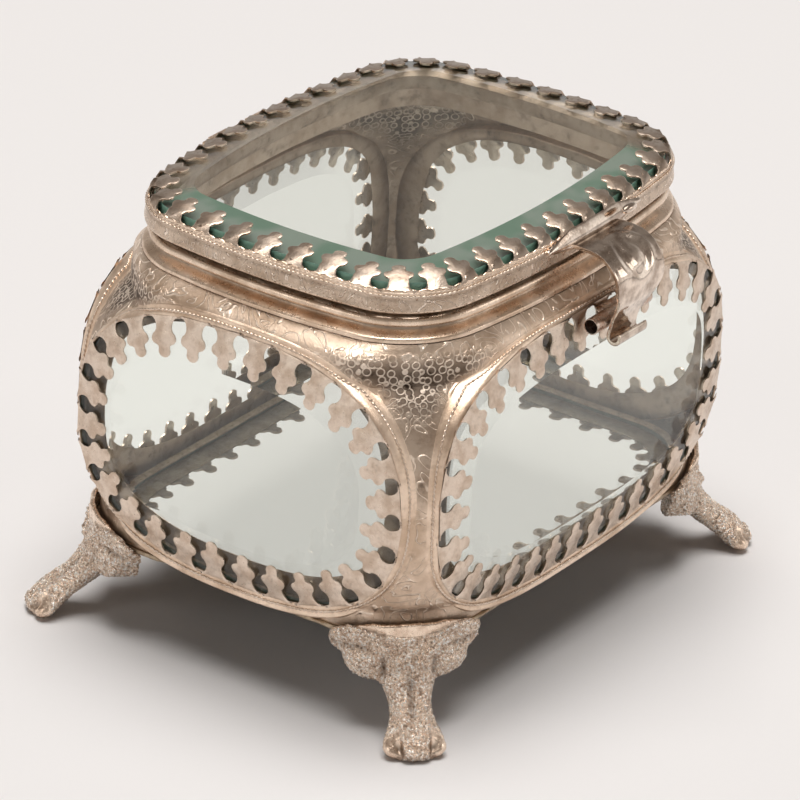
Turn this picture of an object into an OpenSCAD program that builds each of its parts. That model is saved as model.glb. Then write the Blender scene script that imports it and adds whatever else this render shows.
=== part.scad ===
// Small jewel casket: a pressed metal body with four bevelled glass walls,
// a glass floor and a hinged glass lid, each pane held by a gallery of
// leaf-shaped prongs folded over its edge, on four cast scroll feet.
// Millimetres. X runs along the front, the front faces -Y, Z is up, and
// the origin lies on the ground under the middle of the body.

/* [Body] */
// Width of the body over its two end walls
body_w = 95; // [85:1:120]
// Depth of the body over its front and back walls
body_d = 74.4; // [68:0.4:100]
// Thickness of the pressed metal
wall = 1.3; // [1:0.1:1.6]
// Height of the feet up to the base's corners
foot_h = 15; // [13:0.5:18]
// Height of the base's underside above the feet's
base_rise = 1.3; // [0.8:0.1:1.6]
// Thickness of the flange round the base
flange_t = 1; // [0.8:0.1:1.4]

/* [Windows] */
// Height of the front and back windows
window_h = 44.6; // [38:0.2:60]
// Metal left between a front window and the edge of the body
front_post = 6.2; // [5.8:0.1:9]
// Metal left between an end window and the edge of the body
end_post = 4.9; // [4.6:0.1:8]
// Height of the front window's widest place above its foot
front_belly = 19.9; // [16:0.1:24]
// Height of the end window's widest place above its foot
end_belly = 22; // [18:0.1:25]
// How much higher the end window starts than the front one
end_rise = 0.4; // [0:0.1:1]
// Squareness of the front window's upper corners
front_square = 3.3; // [2.6:0.1:4]
// Squareness of the front window's lower corners
front_square_low = 2.9; // [2.4:0.1:3.6]
// Squareness of the end window's corners
end_square = 2.55; // [2.2:0.05:3.2]

/* [Glass] */
// Thickness of a pane
glass_t = 4; // [3:0.1:4.5]
// Width of the bevel round a pane
bevel_w = 6.6; // [5:0.1:8]
// Depth of the bevel at a pane's edge
bevel_t = 1.1; // [0.8:0.1:1.6]
// Play between a pane and the metal round it
glass_play = 0.15; // [0.1:0.05:0.3]

/* [Galleries] */
// Distance from one prong to the next
prong_pitch = 6.4; // [5.6:0.1:8]
// Length of a prong over a window's glass
prong_len = 5.9; // [5:0.1:6.4]
// Length of a prong over the lid's glass
lid_prong_len = 5; // [4.4:0.1:6]
// Width of a prong over its side leaves
prong_w = 4.2; // [3.4:0.1:4.8]
// Thickness of a prong
prong_t = 0.55; // [0.4:0.05:0.8]
// Thickness of a window's metal ring
ring_t = 0.7; // [0.6:0.1:0.9]
// Height of the ring above the wall
ring_up = 0.3; // [0.2:0.1:0.5]

/* [Collar] */
// How far the collar stands in from an end wall
collar_in_end = 3.2; // [2.4:0.1:4]
// How far the collar stands in from the front wall
collar_in_front = 2.15; // [1.6:0.05:3]
// Corner radius of the collar
collar_r = 16; // [14:0.5:18]
// Bulge of the collar's long sides
collar_bow = 2.15; // [1:0.05:2.4]
// Height of the shoulder between the windows and the collar
shoulder_h = 2.3; // [1.8:0.1:4]
// Height of the collar
collar_h = 4.3; // [3.8:0.1:6]
// Width of the collar from its lip to the mouth
collar_w = 5; // [4.6:0.1:6]

/* [Lid] */
// How far the lid stands in from the collar's lip
lid_in = 1.3; // [1:0.1:1.8]
// Seam between the collar and the lid
lid_gap = 1; // [0.6:0.1:1.4]
// Height of the lid's band
band_h = 5; // [4.4:0.1:7]
// Height of the stubs that carry the lid's prongs
stub_h = 0.1; // [0:0.1:0.6]
// Depth of the lid's locating rim in the mouth
rim_drop = 1.5; // [1:0.1:2]
// Play between the rim and the mouth
rim_play = 0.4; // [0.3:0.05:0.8]

/* [Hinge] */
// Length of the hinge
hinge_l = 26; // [20:1:34]
// Radius of the hinge knuckles
knuckle_r = 1.5; // [1.4:0.05:1.7]
// Radius of the hinge pin
pin_r = 0.7; // [0.6:0.05:0.8]
// Running clearance round the pin
pin_play = 0.05; // [0.03:0.01:0.09]
// Distance of the pin behind the lid's band
pin_out = 2.75; // [2.7:0.05:3.2]

/* [Clasp] */
// Distance of the clasp from the middle of the front
clasp_x = 3.8; // [-6:0.2:6]
// Width of the clasp's strap
clasp_w = 13.6; // [12:0.2:16]
// Thickness of the clasp's spring metal
clasp_t = 0.6; // [0.5:0.05:0.8]
// Width of the clasp over its pointed wings
wing_w = 28; // [24:0.5:34]
// Width of the clasp's rolled lip
lip_w = 11; // [9:0.5:12]
// Length of the catch tube
tube_l = 16.4; // [14:0.2:20]
// Radius of the catch tube
tube_r = 1.5; // [1.3:0.05:1.6]
// Distance of the tube's axis in front of the wall
tube_out = 2.8; // [2.7:0.05:3]

/* [Feet] */
// Reach of a foot from the corner of the floor to the tip of its toe
foot_reach = 18.2; // [16:0.2:22]
// Width of a foot's bracket under the base
bracket_w = 25; // [20:0.5:28]

/* [Hidden] */

silver = "#cdb9a9";
cast = "#d8c8bb";
clear = [0.72, 0.86, 0.80, 0.45];
polished = "#e3d6cb";

// Overlap that joins two shapes of one piece
bite = 0.4;
// How far a cut runs past a face
past = 1;
// Height of the windows' foot above the floor, of the wall above their heads, and how much
// tighter the lid's corners are than the collar's
window_foot = 1.3;
band_above = 2.2;
lid_tighter = 2;
// Points on half a straight side, and on a corner
side_steps = 3;
corner_steps = 6;
// Points on the outline of a window
window_steps = 60;

half_w = body_w / 2;
half_d = body_d / 2;

// Heights
base_z = foot_h + base_rise;
floor_z = base_z + flange_t;
window_z = floor_z + window_foot;
window_top = window_z + window_h;
flat_top = window_top + band_above;
collar_z = flat_top + shoulder_h;
mouth_z = collar_z + collar_h;
lid_z = mouth_z + lid_gap;
band_top = lid_z + band_h;

// Half sizes of the collar's lip and of the lid's band
collar_hx = half_w - collar_in_end;
collar_hy = half_d - collar_in_front;
lid_hx = collar_hx - lid_in;
lid_hy = collar_hy - lid_in;

// A window is [half width, height of its foot, of its widest place and of its top,
// squareness above and below]
front_window = [half_w - front_post, window_z, window_z + front_belly, window_top,
                front_square, front_square_low];
end_window = [half_d - end_post, window_z + end_rise, window_z + end_belly, window_top,
              end_square, end_square];

// Where the corner post turns away, beside the edge of a window's glass
margin = -0.3;

// Half the width of a window at height z, and 0 above and below it
function window_half(w, z) =
    let (up = z > w[2], rise = up ? w[3] - w[2] : w[2] - w[1],
         n = up ? w[4] : w[5], share = abs(z - w[2]) / rise)
    share >= 1 ? 0 : w[0] * pow(1 - pow(share, n), 1 / n);

// Outline of a window in its wall, as [across, height]
function window_outline(w) = [
    for (i = [0:window_steps - 1])
        let (a = 360 * i / window_steps, up = sin(a) >= 0,
             n = up ? w[4] : w[5], rise = up ? w[3] - w[2] : w[2] - w[1],
             r = pow(pow(abs(cos(a)) / w[0], n) + pow(abs(sin(a)) / rise, n), -1 / n))
        [r * cos(a), w[2] + r * sin(a)]
];

function unit(v) = v / norm(v);

// A closed outline moved outwards by g along its own normals
function grown(pts, g) = [
    for (i = [0:len(pts) - 1])
        let (n = len(pts), d = unit(pts[(i + 1) % n] - pts[(i + n - 1) % n]))
        pts[i] + g * [d.y, -d.x]
];

// Places at an even pitch round an outline, as [point, angle of the outline there]
function places(pts, pitch) =
    let (n = len(pts),
         sums = [for (i = 0, s = 0; i <= n; s = s + norm(pts[(i + 1) % n] - pts[i % n]), i = i + 1) s],
         xs = [for (i = [0:n]) [sums[i], pts[i % n].x]],
         ys = [for (i = [0:n]) [sums[i], pts[i % n].y]],
         count = round(sums[n] / pitch), step = sums[n] / count)
    [for (i = [0:count - 1])
        let (s = (i + 0.5) * step,
             d = [lookup(s + 0.5, xs) - lookup(s - 0.5, xs), lookup(s + 0.5, ys) - lookup(s - 0.5, ys)])
        [[lookup(s, xs), lookup(s, ys)], atan2(d.y, d.x)]];

// A quarter of a plan outline, from the middle of the front to the middle of the end.
// The corner starts at px and py and bends with strength k; the sides bulge by bow.
function quarter(hx, hy, px, py, k, bow_x, bow_y) =
    let (p0 = [px, bow_y - hy], p1 = [hx - bow_x, -py],
         s0 = 2 * bow_y / px, s1 = 2 * bow_x / py,
         b = (-py - p0.y - (p1.x - px) * s0) / (1 - s0 * s1),
         corner = p1 + b * [-s1, -1],
         c0 = p0 + k * (corner - p0), c1 = p1 + k * (corner - p1))
    concat(
        [for (i = [0:side_steps - 1]) let (f = i / side_steps) [px * f, -hy + bow_y * f * f]],
        [for (i = [0:corner_steps]) let (t = i / corner_steps, u = 1 - t)
            u * u * u * p0 + 3 * u * u * t * c0 + 3 * u * t * t * c1 + t * t * t * p1],
        [for (i = [1:side_steps]) let (f = 1 - i / side_steps) [hx - bow_x * f * f, -py * f]]
    );

// The whole outline from its quarter
function whole(q) =
    let (n = len(q) - 1)
    concat(
        [for (i = [0:n - 1]) q[i]],
        [for (i = [n:-1:1]) [q[i].x, -q[i].y]],
        [for (i = [0:n - 1]) -q[i]],
        [for (i = [n:-1:1]) [-q[i].x, q[i].y]]
    );

// Strength that makes a corner round
round_k = 0.5523;

// Rounded outlines of the collar and of the lid, grown by g
corner_x = collar_hx - collar_r;
corner_y = collar_hy - collar_r;
end_bow = collar_bow * corner_y / corner_x;
function collar_outline(g) =
    whole(quarter(collar_hx + g, collar_hy + g, corner_x, corner_y, round_k, end_bow, collar_bow));
lid_corner_x = lid_hx - collar_r + lid_tighter;
lid_corner_y = lid_hy - collar_r + lid_tighter;
function lid_outline(g) =
    whole(quarter(lid_hx + g, lid_hy + g, lid_corner_x, lid_corner_y, round_k, end_bow, collar_bow));

// Fullness of the body's corners by height, from 0 at its foot to 1 at the collar:
// full at the apron, a flat chamfer at the waist of the post, full again at the shoulder
fullness = [[0, 0.64], [0.09, 0.56], [0.18, 0.26], [0.3, 0.12], [0.62, 0.1],
            [0.77, 0.13], [0.85, 0.27], [0.91, 0.33], [0.96, 0.33], [1, round_k]];

// Share of the collar's bulge that the walls take up, by height: the spandrels beside
// the heads of the windows draw back from the rings
bulge = [[0, 0], [0.45, 0], [0.7, 0.2], [0.85, 0.5], [0.95, 0.85], [1, 1]];

// Plan outline of the body at height z, with its surface moved in by t
function body_section(z, t) =
    let (f = (z - floor_z) / (collar_z - floor_z), k = lookup(f, fullness), bow = lookup(f, bulge),
         top = max(0, (z - flat_top) / shoulder_h),
         px = max(window_half(front_window, z) + margin, corner_x) - 0.3 * t,
         py = max(window_half(end_window, z) + margin, corner_y) - 0.3 * t,
         hx = half_w - collar_in_end * top - t, hy = half_d - collar_in_front * top - t)
    whole(quarter(hx, hy, px, py, k, end_bow * bow, collar_bow * bow));

// How far the foot of the walls is drawn in over the flange
tuck_in = 0.5;
function tuck(z) = z > floor_z ? 0 : tuck_in;

// Heights at which the body's outline is drawn, closer together where it changes fast
body_levels = concat(
    [floor_z, window_z],
    [for (f = [0.04, 0.09, 0.16, 0.26, 0.38, 0.52, 0.66, 0.78, 0.87, 0.93, 0.97]) window_z + f * window_h],
    [window_top, flat_top, flat_top + shoulder_h / 2, collar_z]
);

function raised(pts, z) = [for (p = pts) [p.x, p.y, z]];

function sum(list, i = 0) = i == len(list) - 1 ? list[i] : list[i] + sum(list, i + 1);

// A solid through a stack of outlines that have the same number of points.
// Each end is closed by a fan round its own middle.
module loft(rings) {
    n = len(rings[0]);
    last = len(rings) - 1;
    foot = len(rings) * n;
    head = foot + 1;
    polyhedron(
        points = concat([for (r = rings) for (p = r) p], [sum(rings[0]) / n, sum(rings[last]) / n]),
        faces = concat(
            [for (i = [0:n - 1]) [i, (i + 1) % n, foot]],
            [for (j = [0:last - 1]) for (i = [0:n - 1])
                let (a = j * n + i, b = j * n + (i + 1) % n) each [[a, a + n, b + n], [a, b + n, b]]],
            [for (i = [0:n - 1]) [last * n + (i + 1) % n, last * n + i, head]]
        )
    );
}

// A closed band through outlines that come back to the first one
module hoop(rings) {
    n = len(rings[0]);
    m = len(rings);
    polyhedron(
        points = [for (r = rings) for (p = r) p],
        faces = [for (j = [0:m - 1]) for (i = [0:n - 1])
            let (a = j * n + i, b = j * n + (i + 1) % n,
                 c = ((j + 1) % m) * n + i, d = ((j + 1) % m) * n + (i + 1) % n)
            each [[a, c, d], [a, d, b]]]
    );
}

// A flat ring between two outlines, from z0 to z1
module flat_ring(outer, inner, z0, z1) {
    translate([0, 0, z0])
        linear_extrude(z1 - z0)
            difference() {
                polygon(outer);
                polygon(inner);
            }
}

// Stands a shape drawn flat, with its face up, in the wall that faces turn degrees from the front
module in_wall(turn, out) {
    rotate([0, 0, turn])
        translate([0, -out, 0])
            rotate([90, 0, 0])
                children();
}

// Half of a prong's outline: a stem, two side leaves and a rounded tip
prong_half = [
    [0.25, -0.1], [0.25, 0.22], [0.5, 0.34], [0.5, 0.56], [0.24, 0.66], [0.22, 0.88], [0.1, 1]
];
function prong_outline(length) = concat(
    [for (p = prong_half) [p.x * prong_w, p.y * length]],
    [for (i = [len(prong_half) - 1:-1:0]) [-prong_half[i].x * prong_w, prong_half[i].y * length]]
);
// Slope of a bevel, and the clearance under a prong
bevel_tilt = atan(bevel_t / bevel_w);
prong_play = 0.12;

// Prongs that lean inwards over a bevel whose edge lies at height edge_z
module prongs(outline, edge_z, length) {
    for (p = places(outline, prong_pitch))
        translate([p[0].x, p[0].y, edge_z + prong_play])
            rotate([0, 0, p[1]])
                rotate([bevel_tilt, 0, 0])
                    linear_extrude(prong_t)
                        polygon(prong_outline(length));
}

// A bevelled pane with its back at z0 and its face at z0 + glass_t
module pane(outline, z0) {
    edge = grown(outline, -glass_play);
    loft([
        raised(edge, z0),
        raised(edge, z0 + glass_t - bevel_t),
        raised(grown(outline, -bevel_w - glass_play), z0 + glass_t)
    ]);
}

// Height of a wall pane's face, edge and back above the wall's own face
face_up = 1;
edge_up = face_up - bevel_t;
back_up = face_up - glass_t;

module window_pane(w, turn, out) {
    color(clear)
        in_wall(turn, out)
            pane(window_outline(w), back_up);
}

// Metal ring of a window: a tube round the pane, a back lip, a roped edge and the prongs
module window_bezel(w, turn, out) {
    root = window_outline(w);
    tube = grown(root, ring_t);
    lip_up = back_up - prong_play;
    color(silver)
        in_wall(turn, out)
            union() {
                flat_ring(tube, root, lip_up - ring_t / 2, ring_up);
                flat_ring(tube, grown(root, -1.2), lip_up - ring_t / 2, lip_up);
                flat_ring(grown(root, ring_t - 0.15), grown(root, 0.15), ring_up - bite, ring_up + 0.3);
                prongs(root, edge_up, prong_len);
            }
}

module window_hole(w, turn, out) {
    in_wall(turn, out)
        translate([0, 0, -collar_w - past])
            linear_extrude(collar_w + past * 3)
                polygon(grown(window_outline(w), ring_t + 0.1));
}

module body_shell() {
    color(silver)
        difference() {
            loft([for (z = body_levels) raised(body_section(z, tuck(z)), z)]);
            loft(concat(
                [raised(body_section(floor_z, tuck(floor_z) + wall), floor_z - past)],
                [for (z = body_levels) raised(body_section(z, tuck(z) + wall), z)],
                [raised(body_section(collar_z, wall), collar_z + past)]
            ));
            for (turn = [0, 180])
                window_hole(front_window, turn, half_d);
            for (turn = [90, 270])
                window_hole(end_window, turn, half_w);
        }
}

// Profile of the collar as [distance in from its lip, share of its height]:
// a lip, a cove, a groove, a convex bead and the flat top round the mouth
collar_profile = [
    [0, 0], [0, 0.14], [0.7, 0.22], [1.7, 0.36], [2.2, 0.52], [1.5, 0.58], [1.15, 0.72],
    [1.3, 0.88], [2, 1], [collar_w, 1], [collar_w, 0]
];

module collar() {
    color(silver)
        hoop([for (i = [len(collar_profile) - 1:-1:0])
            raised(collar_outline(-collar_profile[i].x), collar_z + collar_profile[i].y * collar_h)]);
}

module front_bezel() { window_bezel(front_window, 0, half_d); }
module back_bezel() { window_bezel(front_window, 180, half_d); }
module left_bezel() { window_bezel(end_window, 270, half_w); }
module right_bezel() { window_bezel(end_window, 90, half_w); }

module front_glass() { window_pane(front_window, 0, half_d); }
module back_glass() { window_pane(front_window, 180, half_d); }
module left_glass() { window_pane(end_window, 270, half_w); }
module right_glass() { window_pane(end_window, 90, half_w); }

// How far the flange's edge stands in from the walls
flange_in = 0.2;
// Depth of a window's ring behind the wall's face, and where the floor's own wall stands
bezel_depth = glass_t - face_up + prong_play + ring_t / 2;
floor_in = bezel_depth + 0.5;
floor_wall = 0.9;
function base_outline(g) = body_section(floor_z, -g);

module base_frame() {
    shelf_z = base_z + 0.2 + glass_t + prong_play;
    color(silver)
        union() {
            flat_ring(base_outline(-flange_in), base_outline(-floor_in - floor_wall), base_z, floor_z);
            flat_ring(base_outline(-floor_in), base_outline(-floor_in - floor_wall),
                      floor_z - bite, shelf_z + 0.6);
            flat_ring(base_outline(-floor_in), base_outline(-floor_in - 2.2), shelf_z, shelf_z + 0.6);
        }
}

module base_glass() {
    outline = base_outline(-floor_in - floor_wall);
    color(clear)
        translate([0, 0, base_z + 0.2 + glass_t])
            rotate([180, 0, 0])
                pane(outline, 0);
}

module base_gallery() {
    root = base_outline(-floor_in - floor_wall);
    color(silver)
        translate([0, 0, base_z])
            rotate([180, 0, 0])
                union() {
                    flat_ring(grown(root, floor_wall), root, 0, prong_t);
                    for (p = places(root, prong_pitch))
                        translate([p[0].x, p[0].y, 0])
                            rotate([0, 0, p[1]])
                                linear_extrude(prong_t)
                                    polygon(prong_outline(prong_len));
                }
}

// A foot is drawn along its own axis, outwards from the corner of the floor.
// Each section is [reach, height, half thickness, half width] as shares of foot_reach
// and foot_h, from the bracket down the scroll to the toe.
foot_sections = [
    [0.25, 0.94, 0.21, 0.36], [0.3, 0.72, 0.19, 0.29], [0.42, 0.53, 0.145, 0.215],
    [0.57, 0.37, 0.13, 0.2], [0.71, 0.24, 0.13, 0.25], [0.82, 0.12, 0.135, 0.3],
    [0.9, 0.1, 0.115, 0.26], [0.975, 0.13, 0.05, 0.14]
];
foot_steps = 2;
foot_sides = 14;
// Corner of the floor that the feet are set out from
foot_x = half_w - 9.2;
foot_y = half_d - 8.7;

// Smooth curve through a list of rows, at position t counted in rows
function smooth_at(rows, t) =
    let (n = len(rows) - 1, i = min(floor(t), n - 1), f = t - i,
         a = rows[max(i - 1, 0)], b = rows[i], c = rows[i + 1], d = rows[min(i + 2, n)])
    0.5 * (2 * b + (c - a) * f + (2 * a - 5 * b + 4 * c - d) * f * f
           + (3 * b - 3 * c + d - a) * f * f * f);

// One section of the foot, square to the way the foot runs there
function foot_ring(t) =
    let (s = smooth_at(foot_sections, t),
         d = smooth_at(foot_sections, min(t + 0.2, len(foot_sections) - 1))
             - smooth_at(foot_sections, max(t - 0.2, 0)),
         way = unit([d[0] * foot_reach, d[1] * foot_h]))
    [for (i = [0:foot_sides - 1])
        let (a = 360 * i / foot_sides, h = s[2] * foot_h * sin(a))
        [s[0] * foot_reach - way.y * h, s[3] * foot_reach * cos(a), s[1] * foot_h + way.x * h]];

// Half of the bracket's scalloped outline, as [share of its width, share of foot_h]:
// down from its crest in front of the base, round two lobes, to the leg
bracket_half = [
    [0, 1.35], [0.24, 1.33], [0.4, 1.25], [0.5, 1.14], [0.5, 0.98], [0.45, 0.93], [0.41, 0.9], [0.41, 0.8],
    [0.38, 0.72], [0.32, 0.67], [0.26, 0.65], [0.2, 0.64], [0.14, 0.58]
];
// Thickness of the bracket, and the gap between it and the walls
bracket_t = 0.8;
bracket_gap = 0.55;

module foot(sx, sy) {
    diagonal = atan2(sy, sx);
    outside = base_outline(bracket_gap + bracket_t);
    last = (len(foot_sections) - 1) * foot_steps;
    color(cast)
        union() {
            intersection() {
                translate([sx * foot_x, sy * foot_y, 0])
                    rotate([0, 0, diagonal])
                        loft([for (j = [0:last]) foot_ring(j / foot_steps)]);
                translate([-body_w, -body_w, 0])
                    cube([body_w * 2, body_w * 2, base_z]);
            }
            intersection() {
                union() {
                    flat_ring(outside, base_outline(-floor_in + 0.4), 0, base_z);
                    flat_ring(outside, base_outline(bracket_gap), base_z - bite, window_top);
                }
                translate([sx * foot_x, sy * foot_y, 0])
                    rotate([0, 0, diagonal])
                        rotate([90, 0, 90])
                            linear_extrude(foot_reach)
                                polygon(concat(
                                    [for (p = bracket_half) [p.x * bracket_w, p.y * foot_h]],
                                    [for (i = [len(bracket_half) - 1:-1:1])
                                        [-bracket_half[i].x * bracket_w, bracket_half[i].y * foot_h]]
                                ));
            }
        }
}

module foot_front_left() { foot(-1, -1); }
module foot_front_right() { foot(1, -1); }
module foot_back_left() { foot(-1, 1); }
module foot_back_right() { foot(1, 1); }

// Where the catch tube lies in front of the wall, level with the head of the front window
tube_y = -half_d - tube_out;
tube_z = window_top - 0.9;

module catch_tube() {
    saddle_w = tube_l * 0.7;
    color(silver)
        translate([clasp_x, 0, 0])
            difference() {
                union() {
                    translate([-tube_l / 2, tube_y, tube_z])
                        rotate([0, 90, 0])
                            cylinder(h = tube_l, r = tube_r, $fn = 48);
                    translate([-saddle_w / 2, tube_y, tube_z + 0.6])
                        cube([saddle_w, tube_out - ring_up - 0.35, 2]);
                }
                translate([-tube_l / 2 - past, tube_y, tube_z])
                    rotate([0, 90, 0])
                        cylinder(h = tube_l + past * 2, r = tube_r - 0.5, $fn = 48);
            }
}

// Hinge pin, behind the lid's band and just above the mouth
pin_y = lid_hy + pin_out;
pin_z = mouth_z + lid_gap / 2;
knuckles = 5;
knuckle_gap = 0.2;
knuckle_l = hinge_l / knuckles;

// The knuckles with the given numbers, as a bored barrel along X
module hinge_barrel(numbers) {
    for (i = numbers)
        translate([-hinge_l / 2 + i * knuckle_l + knuckle_gap / 2, pin_y, pin_z])
            rotate([0, 90, 0])
                cylinder(h = knuckle_l - knuckle_gap, r = knuckle_r, $fn = 48);
}

module hinge_bore() {
    translate([-hinge_l / 2 - past, pin_y, pin_z])
        rotate([0, 90, 0])
            cylinder(h = hinge_l + past * 2, r = pin_r + pin_play, $fn = 48);
}

module hinge_leaf_body() {
    leaf_y = collar_hy + 0.05;
    color(silver)
        difference() {
            union() {
                hinge_barrel([0, 2, 4]);
                translate([-hinge_l / 2, leaf_y, collar_z])
                    cube([hinge_l, 1, pin_z - knuckle_r - 0.4 - collar_z]);
                for (i = [0, 2, 4])
                    translate([-hinge_l / 2 + i * knuckle_l + knuckle_gap / 2, leaf_y, collar_z + 1])
                        cube([knuckle_l - knuckle_gap, 1, pin_z - collar_z - 1]);
            }
            hinge_bore();
        }
}

module hinge_pin() {
    color(silver)
        translate([-hinge_l / 2 - 0.4, pin_y, pin_z])
            rotate([0, 90, 0])
                cylinder(h = hinge_l + 0.8, r = pin_r, $fn = 48);
}

// Height of the lid pane's edge, and of the ledge under the pane
lid_edge_z = band_top + stub_h - 0.2;
ledge_z = lid_edge_z + bevel_t - glass_t - prong_play;
band_t = 1;

module lid_gallery() {
    root = lid_outline(0);
    inside = lid_outline(-band_t);
    stub_w = prong_half[0].x * prong_w * 2;
    color(silver)
        union() {
            flat_ring(root, inside, lid_z, band_top);
            flat_ring(lid_outline(0.9), inside, lid_z, lid_z + 0.9);
            flat_ring(lid_outline(0.35), inside, band_top - 1.1, band_top - 0.4);
            for (p = places(root, prong_pitch))
                translate([p[0].x, p[0].y, band_top - bite])
                    rotate([0, 0, p[1]])
                        translate([-stub_w / 2, 0.05, 0])
                            cube([stub_w, band_t - 0.2, stub_h + bite + 0.2]);
            prongs(root, lid_edge_z - 0.1, lid_prong_len);
        }
}

// Half of the opening that the lid's rim drops into
mouth_in = collar_w - lid_in;

module lid_rim() {
    inside = lid_outline(-mouth_in - rim_play - 1.1);
    shelf_z = ledge_z - 1.2;
    color(silver)
        union() {
            flat_ring(lid_outline(-band_t - 0.1), inside, shelf_z, ledge_z);
            flat_ring(lid_outline(-mouth_in - rim_play), inside, mouth_z - rim_drop + 1, shelf_z + bite);
        }
}

module lid_glass() {
    color(clear)
        pane(lid_outline(-band_t), lid_edge_z + bevel_t - glass_t);
}

module hinge_leaf_lid() {
    leaf_y = lid_hy + 0.05;
    color(silver)
        difference() {
            union() {
                hinge_barrel([1, 3]);
                translate([-hinge_l / 2, leaf_y, lid_z + 1.1])
                    cube([hinge_l, 0.9, band_h - 2.4]);
                for (i = [1, 3])
                    translate([-hinge_l / 2 + i * knuckle_l + knuckle_gap / 2, leaf_y, lid_z + 1.1]) {
                        cube([knuckle_l - knuckle_gap, pin_out + 0.9, 0.9]);
                        translate([0, pin_out - 0.9, pin_z - lid_z - 1.1])
                            cube([knuckle_l - knuckle_gap, 1.8, lid_z + 1.5 - pin_z]);
                    }
            }
            hinge_bore();
        }
}

// Middle line of the clasp's strap, as [distance in front of the catch tube's axis, height
// above it]: out from the band, down over the tube, in under it, and round the rolled lip
lip_r = 1.1;
lip_at = [2.85, -2.2];
strap_line = concat(
    [[-5.9, 12.4], [-3.8, 12.6], [-0.6, 12.3], [2, 11], [3.7, 8.8], [4.15, 6.4], [3.8, 4.2], [2.95, 2.2],
     [2.3, 0.7], [2, -0.6]],
    [for (a = [175:25:400]) lip_at + lip_r * [cos(a), sin(a)]]
);

// The strap's outline, offset to one side of its middle line
function strap_side(offset) = [
    for (i = [0:len(strap_line) - 1])
        let (n = len(strap_line) - 1,
             d = unit(strap_line[min(i + 1, n)] - strap_line[max(i - 1, 0)]),
             p = strap_line[i] + offset * [-d.y, d.x])
        [tube_y - p.x, tube_z + p.y]
];

module clasp() {
    plate_out = 0.45;
    plate_z = lid_z + 1;
    plate_h = band_h - 2;
    tip_z = plate_h * 0.45;
    taper_z = tube_z + 6;
    half_strap = clasp_w / 2;
    half_lip = lip_w / 2;
    inner = strap_side(-clasp_t / 2);
    color(polished)
        translate([clasp_x, 0, 0])
            union() {
                intersection() {
                    translate([-half_strap, 0, 0])
                        rotate([90, 0, 90])
                            linear_extrude(clasp_w)
                                polygon(concat(strap_side(clasp_t / 2),
                                               [for (i = [len(inner) - 1:-1:0]) inner[i]]));
                    rotate([90, 0, 0])
                        linear_extrude(body_d)
                            polygon([[-half_strap, band_top], [-half_strap, taper_z], [-half_lip, tube_z],
                                     [-half_lip, floor_z], [half_lip, floor_z], [half_lip, tube_z],
                                     [half_strap, taper_z], [half_strap, band_top]]);
                }
                intersection() {
                    translate([-clasp_x, 0, 0])
                        flat_ring(lid_outline(plate_out + clasp_t), lid_outline(plate_out),
                                  lid_z, band_top);
                    translate([0, 0, plate_z])
                        rotate([90, 0, 0])
                            linear_extrude(body_d)
                                polygon([[-wing_w / 2, tip_z], [-half_strap, 0], [half_strap, 0],
                                         [wing_w / 2, tip_z], [half_strap, plate_h],
                                         [-half_strap, plate_h]]);
                }
            }
}

body_shell();
collar();
front_bezel();
back_bezel();
left_bezel();
right_bezel();
front_glass();
back_glass();
left_glass();
right_glass();
base_frame();
base_gallery();
base_glass();
foot_front_left();
foot_front_right();
foot_back_left();
foot_back_right();
catch_tube();
hinge_leaf_body();
hinge_pin();
lid_gallery();
lid_rim();
lid_glass();
hinge_leaf_lid();
clasp();
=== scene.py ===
# %% [markdown]
# A small glass casket, dressed for its picture
#
# The casket is a box of bevelled glass held together by pressed, silvered brass: a waisted
# body with four windows, a hinged glass lid, a spring clasp and four cast feet. Its solid
# model is already measured and packed. This lesson loads that model as a fixed frame and
# lays finer pieces over it: rings with roped edges, leaf-shaped prongs, moulded bands,
# rough castings and clear glass. Everything stays in metres in the model's own frame, so a
# piece goes where the model says.

# %% Load the frame
import bpy
import math
import numpy as np
from mathutils import Matrix, Vector


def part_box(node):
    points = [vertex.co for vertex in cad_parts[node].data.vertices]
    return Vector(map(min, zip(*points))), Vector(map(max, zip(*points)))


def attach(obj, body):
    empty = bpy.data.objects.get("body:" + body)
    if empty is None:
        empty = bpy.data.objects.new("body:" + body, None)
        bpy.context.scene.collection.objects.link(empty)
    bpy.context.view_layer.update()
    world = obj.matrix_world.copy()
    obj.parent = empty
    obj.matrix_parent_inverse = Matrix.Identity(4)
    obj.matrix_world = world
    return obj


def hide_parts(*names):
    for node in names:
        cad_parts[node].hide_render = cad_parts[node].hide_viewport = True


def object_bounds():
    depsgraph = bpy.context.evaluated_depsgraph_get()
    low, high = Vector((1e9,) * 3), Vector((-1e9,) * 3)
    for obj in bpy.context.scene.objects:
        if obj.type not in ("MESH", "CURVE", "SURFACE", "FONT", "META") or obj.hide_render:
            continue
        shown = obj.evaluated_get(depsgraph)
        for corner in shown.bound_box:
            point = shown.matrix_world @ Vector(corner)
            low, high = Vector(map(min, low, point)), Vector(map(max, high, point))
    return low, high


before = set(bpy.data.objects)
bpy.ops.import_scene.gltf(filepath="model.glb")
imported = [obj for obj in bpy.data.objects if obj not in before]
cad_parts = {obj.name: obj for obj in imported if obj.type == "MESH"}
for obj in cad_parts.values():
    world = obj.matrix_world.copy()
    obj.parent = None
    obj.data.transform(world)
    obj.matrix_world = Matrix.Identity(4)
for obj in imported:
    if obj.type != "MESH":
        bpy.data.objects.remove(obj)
box_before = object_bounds()
print("the packed model measures", [[round(v, 4) for v in corner] for corner in box_before])

# %% [markdown]
# The camera
#
# The picture was taken from a little above, off the casket's front left corner, with a long
# lens. A long lens keeps upright edges nearly parallel. The camera's place, turn and lens
# were worked out from the outlines of the windows, so they are given here as plain numbers:
# the compass angle, the height angle and a slight tilt about the line of sight.

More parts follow.
